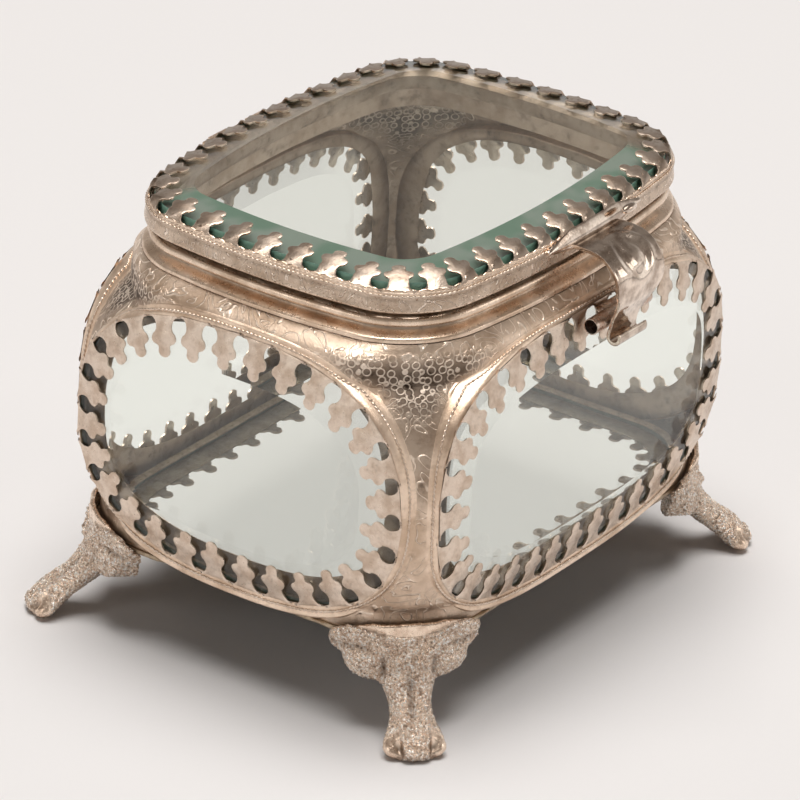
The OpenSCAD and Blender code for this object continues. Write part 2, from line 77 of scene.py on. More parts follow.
# %% Set up the camera
MM = 0.001
AZIMUTH, ELEVATION, TILT = (math.radians(a) for a in (-55.69, 26.61, 2.76))
LENS_PX = 5586.97
PICTURE_PX = 800
EYE = Vector((-0.70888, -0.48327, 0.46382))

back = Vector((math.sin(AZIMUTH) * math.cos(ELEVATION), -math.cos(AZIMUTH) * math.cos(ELEVATION),
               math.sin(ELEVATION)))
right = Vector((math.cos(AZIMUTH), math.sin(AZIMUTH), 0))
up = back.cross(right)
side = math.cos(TILT) * right + math.sin(TILT) * up
top = -math.sin(TILT) * right + math.cos(TILT) * up
turn = Matrix((side, top, back)).transposed().to_4x4()

camera = bpy.data.objects.new("camera", bpy.data.cameras.new("camera"))
camera.data.sensor_width = 36
camera.data.lens = LENS_PX / PICTURE_PX * camera.data.sensor_width
camera.data.clip_start = 0.05
camera.data.clip_end = 20
camera.matrix_world = Matrix.Translation(EYE) @ turn
bpy.context.collection.objects.link(camera)
bpy.context.scene.camera = camera
print("the lens is", round(camera.data.lens, 1), "mm long")

# %% [markdown]
# Helpers
#
# Three kinds of small function save repeating. Some select, shape and join pieces, some add
# shader nodes, and some turn a distance into a soft step or ridge between 0 and 1.

# %% Helpers for pieces
def deselect():
    if bpy.context.object and bpy.context.object.mode != "OBJECT":
        bpy.ops.object.mode_set(mode="OBJECT")
    bpy.ops.object.select_all(action="DESELECT")


def only(piece):
    deselect()
    piece.select_set(True)
    bpy.context.view_layer.objects.active = piece


def start(operator, name, **settings):
    """A new primitive with its name."""
    deselect()
    operator(**settings)
    piece = bpy.context.object
    piece.name = name
    return piece


def edit_all(piece):
    """Open a piece for editing, with all of it selected."""
    only(piece)
    bpy.ops.object.mode_set(mode="EDIT")
    bpy.ops.mesh.select_all(action="SELECT")


def tidy_normals(piece):
    edit_all(piece)
    bpy.ops.mesh.normals_make_consistent(inside=False)
    bpy.ops.object.mode_set(mode="OBJECT")


def apply_modifier(piece, kind, **settings):
    modifier = piece.modifiers.new(kind, kind)
    for key, value in settings.items():
        setattr(modifier, key, value)
    only(piece)
    bpy.ops.object.modifier_apply(modifier=modifier.name)


def join(piece, *others):
    """Make one piece of several, under the first one's name."""
    only(piece)
    for other in others:
        other.select_set(True)
    bpy.ops.object.join()


def shade_smooth(degrees):
    bpy.ops.object.shade_smooth_by_angle(angle=math.radians(degrees))


# %% Helpers for points
def vectors_of(piece, kind):
    values = np.empty(len(piece.data.vertices) * 3)
    piece.data.vertices.foreach_get(kind, values)
    return values.reshape(-1, 3)


def points_of(piece):
    return vectors_of(piece, "co") / MM


def unit_of(piece):
    """The points of a fresh primitive, which reaches from -1 to 1."""
    return points_of(piece) * MM


def lay(piece, points):
    """Move every point of a piece to its place, in mm."""
    piece.data.vertices.foreach_set("co", (points * MM).ravel())
    piece.data.update()


def grid_places(piece, columns, rows):
    """The column and the row of every point of a fresh grid."""
    share = (unit_of(piece) + 1) / 2
    return [np.round(share[:, axis] * count).astype(int) for axis, count in ((0, columns), (1, rows))]


def spokes(unit, count):
    """Which side of a fresh cylinder every point is on."""
    return np.round(np.arctan2(unit[:, 1], unit[:, 0]) / (2 * np.pi / count)).astype(int) % count


def store(piece, name, values):
    """Keep a value on every point, for the material to read."""
    layer = piece.data.attributes.get(name) or piece.data.attributes.new(name, "FLOAT", "POINT")
    values = np.broadcast_to(values, len(piece.data.vertices))
    layer.data.foreach_set("value", np.clip(values, 0, 1).astype(np.float32))


# %% Soft steps and ridges
def rise(value, start, over):
    """0 up to the start, then growing to 1."""
    return np.clip((value - start) / over, 0, 1)


def fall(value, end, over):
    """1, then falling to 0 at the end."""
    return np.clip((end - value) / over, 0, 1)


def between(value, low, high, soft):
    return rise(value, low, soft) * fall(value, high, soft)


def ridge(value, middle, width):
    return np.exp(-((value - middle) / width) ** 2)


# %% Helpers for materials
def new_material(name):
    material = bpy.data.materials.new(name)
    material.use_nodes = True
    material.node_tree.nodes.clear()
    return material, material.node_tree


def put(tree, socket, value):
    """Set or link one input."""
    if isinstance(value, bpy.types.NodeSocket):
        tree.links.new(value, socket)
    else:
        socket.default_value = value


def add(tree, kind, settings=None, **sockets):
    """Add a node; a socket is named with _ for a space and gets a value or another's output."""
    node = tree.nodes.new(kind)
    for key, value in (settings or {}).items():
        setattr(node, key, value)
    for key, value in sockets.items():
        put(tree, node.inputs[key.replace("_", " ")], value)
    return node


def numbered(tree, kind, settings, output, inputs):
    """Add a node whose inputs are known by number, as where names repeat; gives one output."""
    node = add(tree, kind, settings)
    for number, value in inputs.items():
        put(tree, node.inputs[number], value)
    return node.outputs[output]


def maths(tree, operation, a, b=0.5, clamp=False):
    return numbered(tree, "ShaderNodeMath", {"operation": operation, "use_clamp": clamp}, 0, {0: a, 1: b})


def times(tree, a, b, clamp=False):
    return maths(tree, "MULTIPLY", a, b, clamp)


def plus(tree, a, b, clamp=False):
    return maths(tree, "ADD", a, b, clamp)


def minus(tree, a, b, clamp=False):
    return maths(tree, "SUBTRACT", a, b, clamp)


def mix_colour(tree, factor, a, b):
    return numbered(tree, "ShaderNodeMix", {"data_type": "RGBA"}, 2, {0: factor, 6: a, 7: b})


def blend_shaders(tree, factor, a, b):
    return numbered(tree, "ShaderNodeMixShader", {}, 0, {0: factor, 1: a, 2: b})


def ramp(tree, value, low, high):
    """Smooth step of a value from low to high."""
    return numbered(tree, "ShaderNodeMapRange", {"interpolation_type": "SMOOTHSTEP"}, 0,
                    {0: value, 1: low, 2: high})


def object_place(tree):
    return add(tree, "ShaderNodeTexCoord").outputs["Object"]


def noise(tree, place, size_mm, detail, **more):
    return add(tree, "ShaderNodeTexNoise", Vector=place, Scale=1 / (size_mm * MM), Detail=detail,
               **more).outputs[0]


def stored(tree, name):
    """A value that store() keeps on the points."""
    return add(tree, "ShaderNodeAttribute", {"attribute_name": name}).outputs["Fac"]


def bounced(tree, ray):
    """1 for light that has met a matt surface on its way, else 0."""
    return maths(tree, "MINIMUM", ray.outputs["Diffuse Depth"], 1.0)


# %% [markdown]
# The room
#
# Polished metal shows the room more than itself, so the room is part of the finish. One
# large soft lamp hangs overhead and gives the shadow. Two small ones at the sides only put
# lights into the metal. The world is pale at the horizon and brown overhead, which puts the
# shade into the metal that a plain white room would wash out. Most of it is kept from the
# matt floor, or it would fill the shadow. The floor glows a little for rays that came
# through glass, so that the panes show a pale ground, as they do in the picture.

# %% The world
SKY_PALE, SKY_BROWN = (0.98, 0.96, 0.93, 1), (0.29, 0.26, 0.235, 1)
SKY_TURNS = (0.02, 0.42)
SKY_KEPT_BACK = 0.85

world = bpy.data.worlds.new("room")
bpy.context.scene.world = world
world.use_nodes = True
sky = world.node_tree
sky.nodes.clear()
way = add(sky, "ShaderNodeTexCoord")
parts = add(sky, "ShaderNodeSeparateXYZ", Vector=way.outputs["Generated"])
shade = mix_colour(sky, ramp(sky, parts.outputs["Z"], *SKY_TURNS), SKY_PALE, SKY_BROWN)
ray = add(sky, "ShaderNodeLightPath")
strength = minus(sky, 1.0, times(sky, bounced(sky, ray), SKY_KEPT_BACK))
glow = add(sky, "ShaderNodeBackground", Color=shade, Strength=strength)
add(sky, "ShaderNodeOutputWorld", Surface=glow.outputs[0])
bpy.context.scene.view_settings.view_transform = "Standard"

# %% The floor
PAPER, PAPER_DARK = (0.87, 0.852, 0.853, 1), (0.79, 0.775, 0.77, 1)
FLOOR_GLOW = 0.7

floor = start(bpy.ops.mesh.primitive_plane_add, "floor", size=6, location=(0, 0, 0))
paper, tree = new_material("floor_paper")
grain = add(tree, "ShaderNodeTexNoise", Vector=object_place(tree), Scale=900, Detail=2)
tone = mix_colour(tree, times(tree, grain.outputs[0], 0.12), PAPER, PAPER_DARK)
matt = add(tree, "ShaderNodeBsdfDiffuse", Color=tone)
lit = add(tree, "ShaderNodeEmission", Color=(0.9, 0.875, 0.84, 1))
ray = add(tree, "ShaderNodeLightPath")
through_glass = times(tree, ray.outputs["Is Transmission Ray"],
                      minus(tree, FLOOR_GLOW, times(tree, bounced(tree, ray), FLOOR_GLOW)))
add(tree, "ShaderNodeOutputMaterial",
    Surface=blend_shaders(tree, through_glass, matt.outputs[0], lit.outputs[0]))
floor.data.materials.append(paper)

# %% The lamps
LAMP_COLOUR = (1, 0.975, 0.945)
MIDDLE = Vector((0, 0, 0.045))


def soft_lamp(name, place, size, power):
    lamp = bpy.data.lights.new(name, "AREA")
    lamp.size = size
    lamp.energy = power
    lamp.color = LAMP_COLOUR
    holder = bpy.data.objects.new(name, lamp)
    holder.matrix_world = (Matrix.Translation(place)
                           @ (Vector(place) - MIDDLE).to_track_quat("Z", "Y").to_matrix().to_4x4())
    bpy.context.collection.objects.link(holder)


soft_lamp("lamp_above", (0.08, 0.06, 1.8), 1.2, 33.5)
soft_lamp("lamp_left", (-1.0, 0.45, 0.55), 0.4, 0.9)
soft_lamp("lamp_right", (0.75, -0.95, 0.5), 0.4, 0.9)

# %% [markdown]
# The outlines
#
# Nearly everything on the casket follows one of three outlines: the waisted plan of the
# body, the bulging rectangle of the collar and lid, and the rounded windows. They are
# written once, in millimetres, from the same sizes as the solid model, but with many more
# points, so that the bands that follow them are smooth.

# %% Sizes in millimetres
HALF_W, HALF_D = 47.5, 37.2
BASE_Z, FLOOR_Z, WINDOW_Z, WINDOW_TOP = 16.3, 17.3, 18.6, 63.2
FLAT_TOP, COLLAR_Z, MOUTH_Z, LID_Z, BAND_TOP = 65.4, 67.7, 72.0, 73.0, 78.0
COLLAR_HX, COLLAR_HY, LID_HX, LID_HY = 44.3, 35.05, 43.0, 33.75
CORNER_X, CORNER_Y = 28.3, 19.05
BOW = 2.15
END_BOW = BOW * CORNER_Y / CORNER_X
ROUND_K = 0.5523
WALL = 1.3
GLASS_T, BEVEL_W, BEVEL_T = 4.0, 6.6, 1.1
PRONG_PITCH = 6.4

# Half width, foot, widest place, top, squareness above and below
FRONT = (HALF_W - 6.2, WINDOW_Z, WINDOW_Z + 19.9, WINDOW_TOP, 3.3, 2.9)
END = (HALF_D - 4.9, WINDOW_Z + 0.4, WINDOW_Z + 22, WINDOW_TOP, 2.55, 2.55)

# Wall, its window, its turn from the front, how far out it is, and the seed of its leaves
WALLS = (("front", FRONT, 0, HALF_D, 11), ("back", FRONT, 180, HALF_D, 12),
         ("left", END, 270, HALF_W, 13), ("right", END, 90, HALF_W, 14))


# %% Closed outlines
def even(points, count):
    """The same closed outline with evenly spaced points."""
    closed = np.vstack([points, points[:1]])
    run = np.concatenate([[0], np.cumsum(np.linalg.norm(np.diff(closed, axis=0), axis=1))])
    at = np.linspace(0, run[-1], count, endpoint=False)
    return np.stack([np.interp(at, run, closed[:, c]) for c in range(points.shape[1])], 1)


def length_of(points):
    return np.linalg.norm(points - np.roll(points, 1, axis=0), axis=1).sum()


def outward(points):
    """Unit normals of a closed outline, pointing out of it."""
    d = np.roll(points, -1, axis=0) - np.roll(points, 1, axis=0)
    d /= np.linalg.norm(d, axis=1)[:, None]
    return np.stack([d[:, 1], -d[:, 0]], 1)


def grown(points, g):
    return points + g * outward(points)


def at_height(points, z):
    return np.hstack([points, np.full((len(points), 1), z)])


# %% Window outlines
def window_half(window, z):
    """Half the width of a window at a height."""
    half, low, belly, high, n_up, n_low = window
    over = z > belly
    share = abs(z - belly) / (high - belly if over else belly - low)
    n = n_up if over else n_low
    return 0 if share >= 1 else half * (1 - share ** n) ** (1 / n)


def window_outline(window, count):
    """Evenly spaced points round a window, as (across, height)."""
    half, low, belly, high, n_up, n_low = window
    a = np.linspace(0, 2 * np.pi, 2400, endpoint=False)
    over = np.sin(a) >= 0
    n = np.where(over, n_up, n_low)
    reach = np.where(over, high - belly, belly - low)
    r = (np.abs(np.cos(a) / half) ** n + np.abs(np.sin(a) / reach) ** n) ** (-1 / n)
    return even(np.stack([r * np.cos(a), belly + r * np.sin(a)], 1), count)


def inside_window(window, points, grow):
    """True for the points that lie within a window grown by so many millimetres."""
    half, low, belly, high, n_up, n_low = window
    over = points[:, 1] >= belly
    n = np.where(over, n_up, n_low)
    reach = np.where(over, high - belly, belly - low) + grow
    return (np.abs(points[:, 0]) / (half + grow)) ** n + (np.abs(points[:, 1] - belly) / reach) ** n < 1


# %% Plan outlines
def quarter(hx, hy, px, py, k, bow_x, bow_y, side=14, corner=26):
    """From the middle of the front to the middle of the right end: half sizes, where the
    corner starts, how full it is, and how far each side has fallen back by there."""
    s0, s1 = 2 * bow_y / px, 2 * bow_x / py
    p0, p1 = np.array([px, bow_y - hy]), np.array([hx - bow_x, -py])
    b = (-py - p0[1] - (p1[0] - px) * s0) / (1 - s0 * s1)
    tip = p1 + b * np.array([-s1, -1])
    c0, c1 = p0 + k * (tip - p0), p1 + k * (tip - p1)
    f = np.linspace(0, 1, side, endpoint=False)[:, None]
    front = np.hstack([px * f, -hy + bow_y * f * f])
    t = np.linspace(0, 1, corner)[:, None]
    u = 1 - t
    bend = u ** 3 * p0 + 3 * u * u * t * c0 + 3 * u * t * t * c1 + t ** 3 * p1
    f = np.linspace(1, 0, side + 1)[1:, None]
    end = np.hstack([hx - bow_x * f * f, -py * f])
    return np.vstack([front, bend, end])


def whole(q):
    return np.vstack([q[:-1], (q[::-1] * [1, -1])[:-1], -q[:-1], (q[::-1] * [-1, 1])[:-1]])


def collar_outline(g):
    return whole(quarter(COLLAR_HX + g, COLLAR_HY + g, CORNER_X, CORNER_Y, ROUND_K, END_BOW, BOW))


def lid_outline(g, side=14, corner=26):
    return whole(quarter(LID_HX + g, LID_HY + g, LID_HX - 14, LID_HY - 14, ROUND_K, END_BOW, BOW,
                         side, corner))


# How full the corners are and how much the sides bow, by share of the body's height
FULLNESS = np.array([[0, 0.64], [0.09, 0.56], [0.18, 0.26], [0.3, 0.12], [0.62, 0.1], [0.77, 0.13],
                     [0.85, 0.27], [0.91, 0.33], [0.96, 0.33], [1, ROUND_K]])
BULGE = np.array([[0, 0], [0.45, 0], [0.7, 0.2], [0.85, 0.5], [0.95, 0.85], [1, 1]])
SHOULDER_X, SHOULDER_Y = 3.2, 2.15
POST_EASE = 0.3


def body_outline(z, inset=0.0, side=14, corner=26):
    """The body's plan at a height, drawn in by the inset."""
    f = (z - FLOOR_Z) / (COLLAR_Z - FLOOR_Z)
    near = np.clip(f + np.linspace(-0.025, 0.025, 7), 0, 1)
    k = np.interp(near, *FULLNESS.T).mean() if f < 0.97 else np.interp(f, *FULLNESS.T)
    bow = np.interp(near, *BULGE.T).mean()
    draw_in = max(0, (z - FLAT_TOP) / (COLLAR_Z - FLAT_TOP)) ** 1.3
    px = max(window_half(FRONT, z) - POST_EASE, CORNER_X) - 0.3 * inset
    py = max(window_half(END, z) - POST_EASE, CORNER_Y) - 0.3 * inset
    hx, hy = HALF_W - SHOULDER_X * draw_in - inset, HALF_D - SHOULDER_Y * draw_in - inset
    return whole(quarter(hx, hy, px, py, k, END_BOW * bow, BOW * bow, side, corner))


print("round a front window it is", round(length_of(window_outline(FRONT, 400))), "mm")

# %% [markdown]
# Silvered brass, worn
#
# The pressed sheet was silver plated long ago. It is warm where the brass shows through,
# bright on the high places that fingers polish, with a painted highlight there, and nearly
# black in the recesses. One recipe serves all the metal: a warm metal colour, large clouds of
# tarnish, a fine grain that roughens it, and a dark tone wherever the piece carries a high
# stored value; in some places that dark is real tarnish and in others it is painted shade.
# The value is stored on the points of each piece, so the dark sits where it is given. The
# castings also carry a "sandy" value, which is high where their skin is rough; there the
# grain's high points take a painted glint.

# %% Recipe for worn metal
SILVER, WARM = (0.88, 0.705, 0.56, 1), (0.6, 0.445, 0.325, 1)
PATINA_AND_SHADE_TONE = (0.05, 0.034, 0.025, 1)
RUBBED_HIGHLIGHT, PAINTED_GLINT = (0.93, 0.83, 0.73, 1), (1.0, 0.97, 0.93, 1)
PIT_MM = 0.55


def worn_metal(name, bright, warm, rough, grain_mm, grain_depth, cloud_mm=7.0, dark=PATINA_AND_SHADE_TONE, pits=0.0,
               sandy=False, relief=None):
    material, tree = new_material(name)
    place = object_place(tree)
    cloud = noise(tree, place, cloud_mm, 5, Roughness=0.62)
    fine = noise(tree, place, grain_mm, 4, Roughness=0.6)
    stain = noise(tree, place, cloud_mm * 0.28, 6, Roughness=0.7)
    colour = mix_colour(tree, ramp(tree, cloud, 0.38, 0.66), bright, warm)
    # The dark tone mixes real tarnish with painted shade, from the stored value and the pattern's field.
    dirt_and_shade = plus(tree, times(tree, stored(tree, "patina_and_shade"), 1.15),
                times(tree, ramp(tree, stain, 0.5, 0.82), 0.35), clamp=True)
    height = times(tree, fine, grain_depth)
    if sandy:
        sand = stored(tree, "sandy")
        height = times(tree, height, sand)
    if relief:
        raised, field, rubbed_and_highlit = relief(tree, place)
        dirt_and_shade = minus(tree, plus(tree, dirt_and_shade, field), rubbed_and_highlit, clamp=True)
        # Where the pattern is worn bright it also gets a painted highlight.
        colour = mix_colour(tree, rubbed_and_highlit, colour, RUBBED_HIGHLIGHT)
        height = plus(tree, height, raised)
    if pits:
        holes = add(tree, "ShaderNodeTexVoronoi", Vector=place, Scale=1 / (PIT_MM * MM))
        spots = times(tree, ramp(tree, holes.outputs["Distance"], 0.34, 0.12),
                      ramp(tree, stain, 0.44, 0.6))
        dirt_and_shade = plus(tree, dirt_and_shade, times(tree, spots, pits), clamp=True)
        height = minus(tree, height, times(tree, spots, pits * 0.1))
    if sandy:
        # On the castings the grain's high points are painted near white, a painted glint.
        colour = mix_colour(tree, times(tree, ramp(tree, fine, 0.53, 0.58), sand), colour, PAINTED_GLINT)
        hollow = times(tree, ramp(tree, fine, 0.43, 0.38), times(tree, sand, 0.6))
        dirt_and_shade = plus(tree, dirt_and_shade, hollow, clamp=True)
    colour = mix_colour(tree, dirt_and_shade, colour, dark)
    roughness = plus(tree, rough, times(tree, ramp(tree, stain, 0.35, 0.75), 0.16))
    roughness = plus(tree, roughness, times(tree, dirt_and_shade, 0.2), clamp=True)
    bump = add(tree, "ShaderNodeBump", Strength=1.0, Distance=MM, Height=height)
    skin = add(tree, "ShaderNodeBsdfPrincipled", Base_Color=colour, Roughness=roughness, Metallic=1.0,
               Normal=bump.outputs[0])
    add(tree, "ShaderNodeOutputMaterial", Surface=skin.outputs[0])
    return material


# %% [markdown]
# The embossing
#
# The die pressed bunches of grapes and leaf scrolls into the corners under the collar, and
# scrolls over the posts and the apron. Modelled stroke by stroke it would need millions of
# faces for a depth of a fifth of a millimetre, so it is drawn as height in the material:
# small rings for the grapes, and thin raised lines that follow the level lines of a slow
# noise for the scrolls. The values "grape" and "relief" on the points say where each is
# pressed. The pattern's high lines are worn bright by rubbing and carry a painted highlight,
# and its field is darkened, part grime and part painted shade.

# %% Embossed height
GRAPE_MM, GRAPE_H, SCROLL_H = 1.4, 0.22, 0.15
SCROLL_LEVELS = 6.0


def embossing(tree, place, scroll_mm=6.5, deep=1.0):
    """Height in mm, how dark the field is (grime and painted shade), and how much is worn bright and given a
    painted highlight.
    """
    relief, grape = stored(tree, "relief"), stored(tree, "grape")
    cells = add(tree, "ShaderNodeTexVoronoi", Vector=place, Scale=1 / (GRAPE_MM * MM), Randomness=0.55)
    cells = cells.outputs["Distance"]
    rim = times(tree, ramp(tree, cells, 0.6, 0.52), ramp(tree, cells, 0.35, 0.43))
    rim = times(tree, rim, grape)
    slow = noise(tree, place, scroll_mm, 1.2, Distortion=1.3)
    level = maths(tree, "FRACT", times(tree, slow, SCROLL_LEVELS))
    line = ramp(tree, maths(tree, "ABSOLUTE", minus(tree, level, 0.5)), 0.11, 0.03)
    line = times(tree, times(tree, line, relief), minus(tree, 1.0, grape))
    # The raised lines and grape rims are worn bright and also get a painted highlight; the field is darkened,
    # part grime and part painted shade.
    raised = plus(tree, times(tree, rim, GRAPE_H), times(tree, line, SCROLL_H * deep))
    rubbed_and_highlit = times(tree, plus(tree, rim, line), 0.55, clamp=True)
    field = plus(tree, times(tree, relief, 0.1 * deep ** 2), times(tree, grape, 0.4))
    return raised, field, rubbed_and_highlit


def fine_embossing(tree, place):
    return embossing(tree, place, scroll_mm=3.4, deep=1.7)


# %% The metals
pressed = worn_metal("pressed_silver", SILVER, WARM, rough=0.34, grain_mm=0.35, grain_depth=0.045,
                     relief=embossing)
rolled = worn_metal("rolled_silver", SILVER, WARM, rough=0.24, grain_mm=0.5, grain_depth=0.03, cloud_mm=9.0)
leafed = worn_metal("prong_silver", (0.76, 0.635, 0.53, 1), (0.58, 0.45, 0.35, 1), rough=0.27,
                    grain_mm=0.4, grain_depth=0.05, cloud_mm=3.0)
banded = worn_metal("band_silver", SILVER, WARM, rough=0.18, grain_mm=0.45, grain_depth=0.08,
                    relief=fine_embossing)
rough_cast = worn_metal("cast_silver", (0.9, 0.73, 0.59, 1), (0.7, 0.53, 0.41, 1), rough=0.22,
                        grain_mm=0.46, grain_depth=0.7, cloud_mm=2.0, dark=(0.06, 0.04, 0.03, 1),
                        pits=0.3, sandy=True)
sprung = worn_metal("clasp_silver", (0.9, 0.77, 0.66, 1), (0.46, 0.36, 0.29, 1), rough=0.04,
                    grain_mm=0.8, grain_depth=0.02, cloud_mm=3.0)
tubing = worn_metal("tube_silver", (0.8, 0.7, 0.62, 1), (0.5, 0.27, 0.16, 1), rough=0.22, grain_mm=0.5,
                    grain_depth=0.03, cloud_mm=3.0)
base_silver = worn_metal("base_silver", (0.64, 0.52, 0.38, 1), (0.44, 0.34, 0.24, 1), rough=0.34,
                         grain_mm=0.5, grain_depth=0.09, cloud_mm=3.0, pits=0.3)
print("there are", sum("silver" in m.name for m in bpy.data.materials), "finishes of the metal")

# %% [markdown]
# Glass
#
# Thick old window glass is clear through its face and sea green through its edge, because
# light crosses far more glass there. A volume that takes more red and blue than green does
# that by the length of the path. Under the lid's near bevels the light is caught and runs
# the whole width of the pane, far more turns than a render follows, so the underside near
# the rim, which carries a "below" value, is given a matt green wherever the glass mirrors
# strongly: a painted stand-in for that light. For shadows, and for light that has met a matt
# surface, each face of a pane lets about a third of the light through, so the casket throws a
# soft shadow.

# %% Glass
GLASS_TINT, GLASS_DENSITY = (0.52, 0.78, 0.42, 1), 13
GLASS_IOR = 1.5
LET_THROUGH = (0.3, 0.285, 0.27, 1)


def old_glass(name, under_bevel=False):
    """Clear glass; under a bevel a matt green is painted in for the green light that the pane carries within
    it.
    """
    material, tree = new_material(name)
    place = object_place(tree)
    wave = noise(tree, place, 14, 1)
    bump = add(tree, "ShaderNodeBump", Strength=0.25, Distance=MM, Height=times(tree, wave, 0.1))
    skin = add(tree, "ShaderNodeBsdfPrincipled", Base_Color=(1, 1, 1, 1), Roughness=0.0, IOR=GLASS_IOR,
               Transmission_Weight=1.0, Normal=bump.outputs[0])
    surface = skin.outputs[0]
    if under_bevel:
        # A matt green painted in for the light carried inside the pane, where the glass mirrors strongly.
        streak = noise(tree, place, 9, 2)
        green = mix_colour(tree, ramp(tree, streak, 0.4, 0.6), (0.5, 0.8, 0.66, 1), (0.8, 1.0, 0.92, 1))
        painted_carried_light = add(tree, "ShaderNodeBsdfDiffuse", Color=green)
        mirror = add(tree, "ShaderNodeFresnel", IOR=GLASS_IOR)
        share = times(tree, ramp(tree, mirror.outputs[0], 0.12, 0.27),
                      maths(tree, "GREATER_THAN", stored(tree, "below"), 0.5))
        surface = blend_shaders(tree, share, surface, painted_carried_light.outputs[0])
    lets_light = add(tree, "ShaderNodeBsdfTransparent", Color=LET_THROUGH)
    ray = add(tree, "ShaderNodeLightPath")
    light_only = maths(tree, "MAXIMUM", ray.outputs["Is Shadow Ray"], bounced(tree, ray))
    surface = blend_shaders(tree, light_only, surface, lets_light.outputs[0])
    body = add(tree, "ShaderNodeVolumeAbsorption", Color=GLASS_TINT, Density=GLASS_DENSITY)
    add(tree, "ShaderNodeOutputMaterial", Surface=surface, Volume=body.outputs[0])
    return material


def ground_edge(name, painted_glow):
    """A ground edge is dark through the glass; where the camera meets it first it takes a brighter colour, a
    painted glow.
    """
    material, tree = new_material(name)
    grain = noise(tree, object_place(tree), 0.6, 3)
    tone = mix_colour(tree, ramp(tree, grain, 0.35, 0.65), (0.035, 0.06, 0.035, 1), (0.07, 0.13, 0.085, 1))
    ray = add(tree, "ShaderNodeLightPath")
    tone = mix_colour(tree, ray.outputs["Is Camera Ray"], tone, painted_glow)
    skin = add(tree, "ShaderNodeBsdfPrincipled", Base_Color=tone, Roughness=0.35, IOR=GLASS_IOR)
    add(tree, "ShaderNodeOutputMaterial", Surface=skin.outputs[0])
    return material


clear_glass = old_glass("window_glass")
bevel_glass = old_glass("bevel_glass", under_bevel=True)
# The second colour of each ground edge is a painted glow, shown only where the camera meets the edge first.
ground_glass = ground_edge("ground_edge", (0.05, 0.1, 0.07, 1))
lid_edge_glass = ground_edge("lid_edge", (0.3, 0.6, 0.48, 1))

# %% [markdown]
# Bands
#
# The shell, the collar, the lid's band and the window rings are all bands: a cross-section
# carried round a closed line. A grid rolled up both ways has just that net of faces, so each
# band starts as a flat grid. Its points are laid on the rings that the outlines give, and
# the two seams, where first and last points now meet, are merged. The clean rows shade
# smoothly.

# %% Rolling a grid into a band
SEAM = 0.0000005


def band(name, rings, material, smooth=40):
    """A closed band; rings[j][i] is point i round ring j of the cross-section, in mm."""
    rings = np.asarray(rings, float)
    around, along = rings.shape[:2]
    piece = start(bpy.ops.mesh.primitive_grid_add, name, x_subdivisions=along, y_subdivisions=around, size=2)
    column, row = grid_places(piece, along, around)
    lay(piece, rings[row % around, column % along])
    piece.data.materials.append(material)
    edit_all(piece)
    bpy.ops.mesh.remove_doubles(threshold=SEAM)
    tidy_normals(piece)
    shade_smooth(smooth)
    return piece


def rounded(profile, passes=2):
    """A closed cross-section with its corners cut again and again."""
    p = np.asarray(profile, float)
    for _ in range(passes):
        after = np.roll(p, -1, axis=0)
        p = np.stack([0.75 * p + 0.25 * after, 0.25 * p + 0.75 * after], 1).reshape(-1, p.shape[1])
    return p


def settle(piece, body, slot, *nodes):
    """Hang a finished piece on what it moves with, and hide the solids it stands for."""
    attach(piece, body)
    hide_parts(*nodes)
    print(piece.name, "has", len(piece.data.polygons), "faces")


# %% [markdown]
# The body
#
# The body was pressed from one sheet: straight walls, corners that are full at the apron,
# pulled in to a flat post between the windows, and full again under the collar. The band
# for it runs up the outside and down the inside. The four openings are then cut by two
# window-shaped bars that pass right through, one from front to back and one from end to end.

# %% Press the shell
APRON_H, TUCK_H, TUCK = 2, 1.2, 0.5
SHELL_SMOOTH = 35

levels = np.concatenate([np.linspace(FLOOR_Z, FLOOR_Z + APRON_H, 5)[:-1],
                         np.linspace(FLOOR_Z + APRON_H, FLAT_TOP, 52)[:-1],
                         np.linspace(FLAT_TOP, COLLAR_Z, 7)])


def tucked(z):
    """How far the foot of the wall turns in."""
    return TUCK * np.clip(1 - (z - FLOOR_Z) / TUCK_H, 0, 1) ** 2


outer = [at_height(body_outline(z, tucked(z)), z) for z in levels]
inner = [at_height(body_outline(z, WALL + tucked(z)), z) for z in levels[::-4]]
inner.append(at_height(body_outline(FLOOR_Z, WALL + tucked(FLOOR_Z)), FLOOR_Z))
shell = band("shell", outer + inner, pressed, SHELL_SMOOTH)

# %% Cut the windows
OPENING = 1.05
BAR_SIDES, BAR_REACH = 200, 70


def window_bar(window, turned):
    """A bar with a window's outline that passes through both walls."""
    shape = grown(window_outline(window, BAR_SIDES), OPENING)
    bar = start(bpy.ops.mesh.primitive_cylinder_add, "bar", vertices=BAR_SIDES, radius=1, depth=2)
    unit = unit_of(bar)
    across, height = shape[spokes(unit, BAR_SIDES)].T
    depth = np.sign(unit[:, 2]) * BAR_REACH
    lay(bar, np.stack((across, depth, height) if turned == 0 else (depth, across, height), 1))
    tidy_normals(bar)
    return bar


for window, turned in ((FRONT, 0), (END, 90)):
    bar = window_bar(window, turned)
    apply_modifier(shell, "BOOLEAN", operation="DIFFERENCE", object=bar, solver="EXACT")
    bpy.data.objects.remove(bar)
only(shell)
shade_smooth(SHELL_SMOOTH)


# %% Where the shell is embossed and where it is darker
def window_reach(co):
    """Distance from each point to the nearest window outline, in mm, measured in its wall."""
    away = np.full(len(co), 99.0)
    for window, across, wall in ((FRONT, 0, 1), (END, 1, 0)):
        line = window_outline(window, 160)
        near = np.abs(co[:, wall]) > (HALF_D if wall else HALF_W) - 9
        flat = co[near][:, [across, 2]]
        gap = np.sqrt(((flat[:, None, :] - line[None]) ** 2).sum(2)).min(1)
        away[near] = np.minimum(away[near], gap)
    return away


def faces_middle(piece, co, least=0):
    """True where a skin faces the middle of the casket."""
    return (vectors_of(piece, "normal")[:, :2] * co[:, :2]).sum(1) < least


INSIDE_PATINA = 0.32

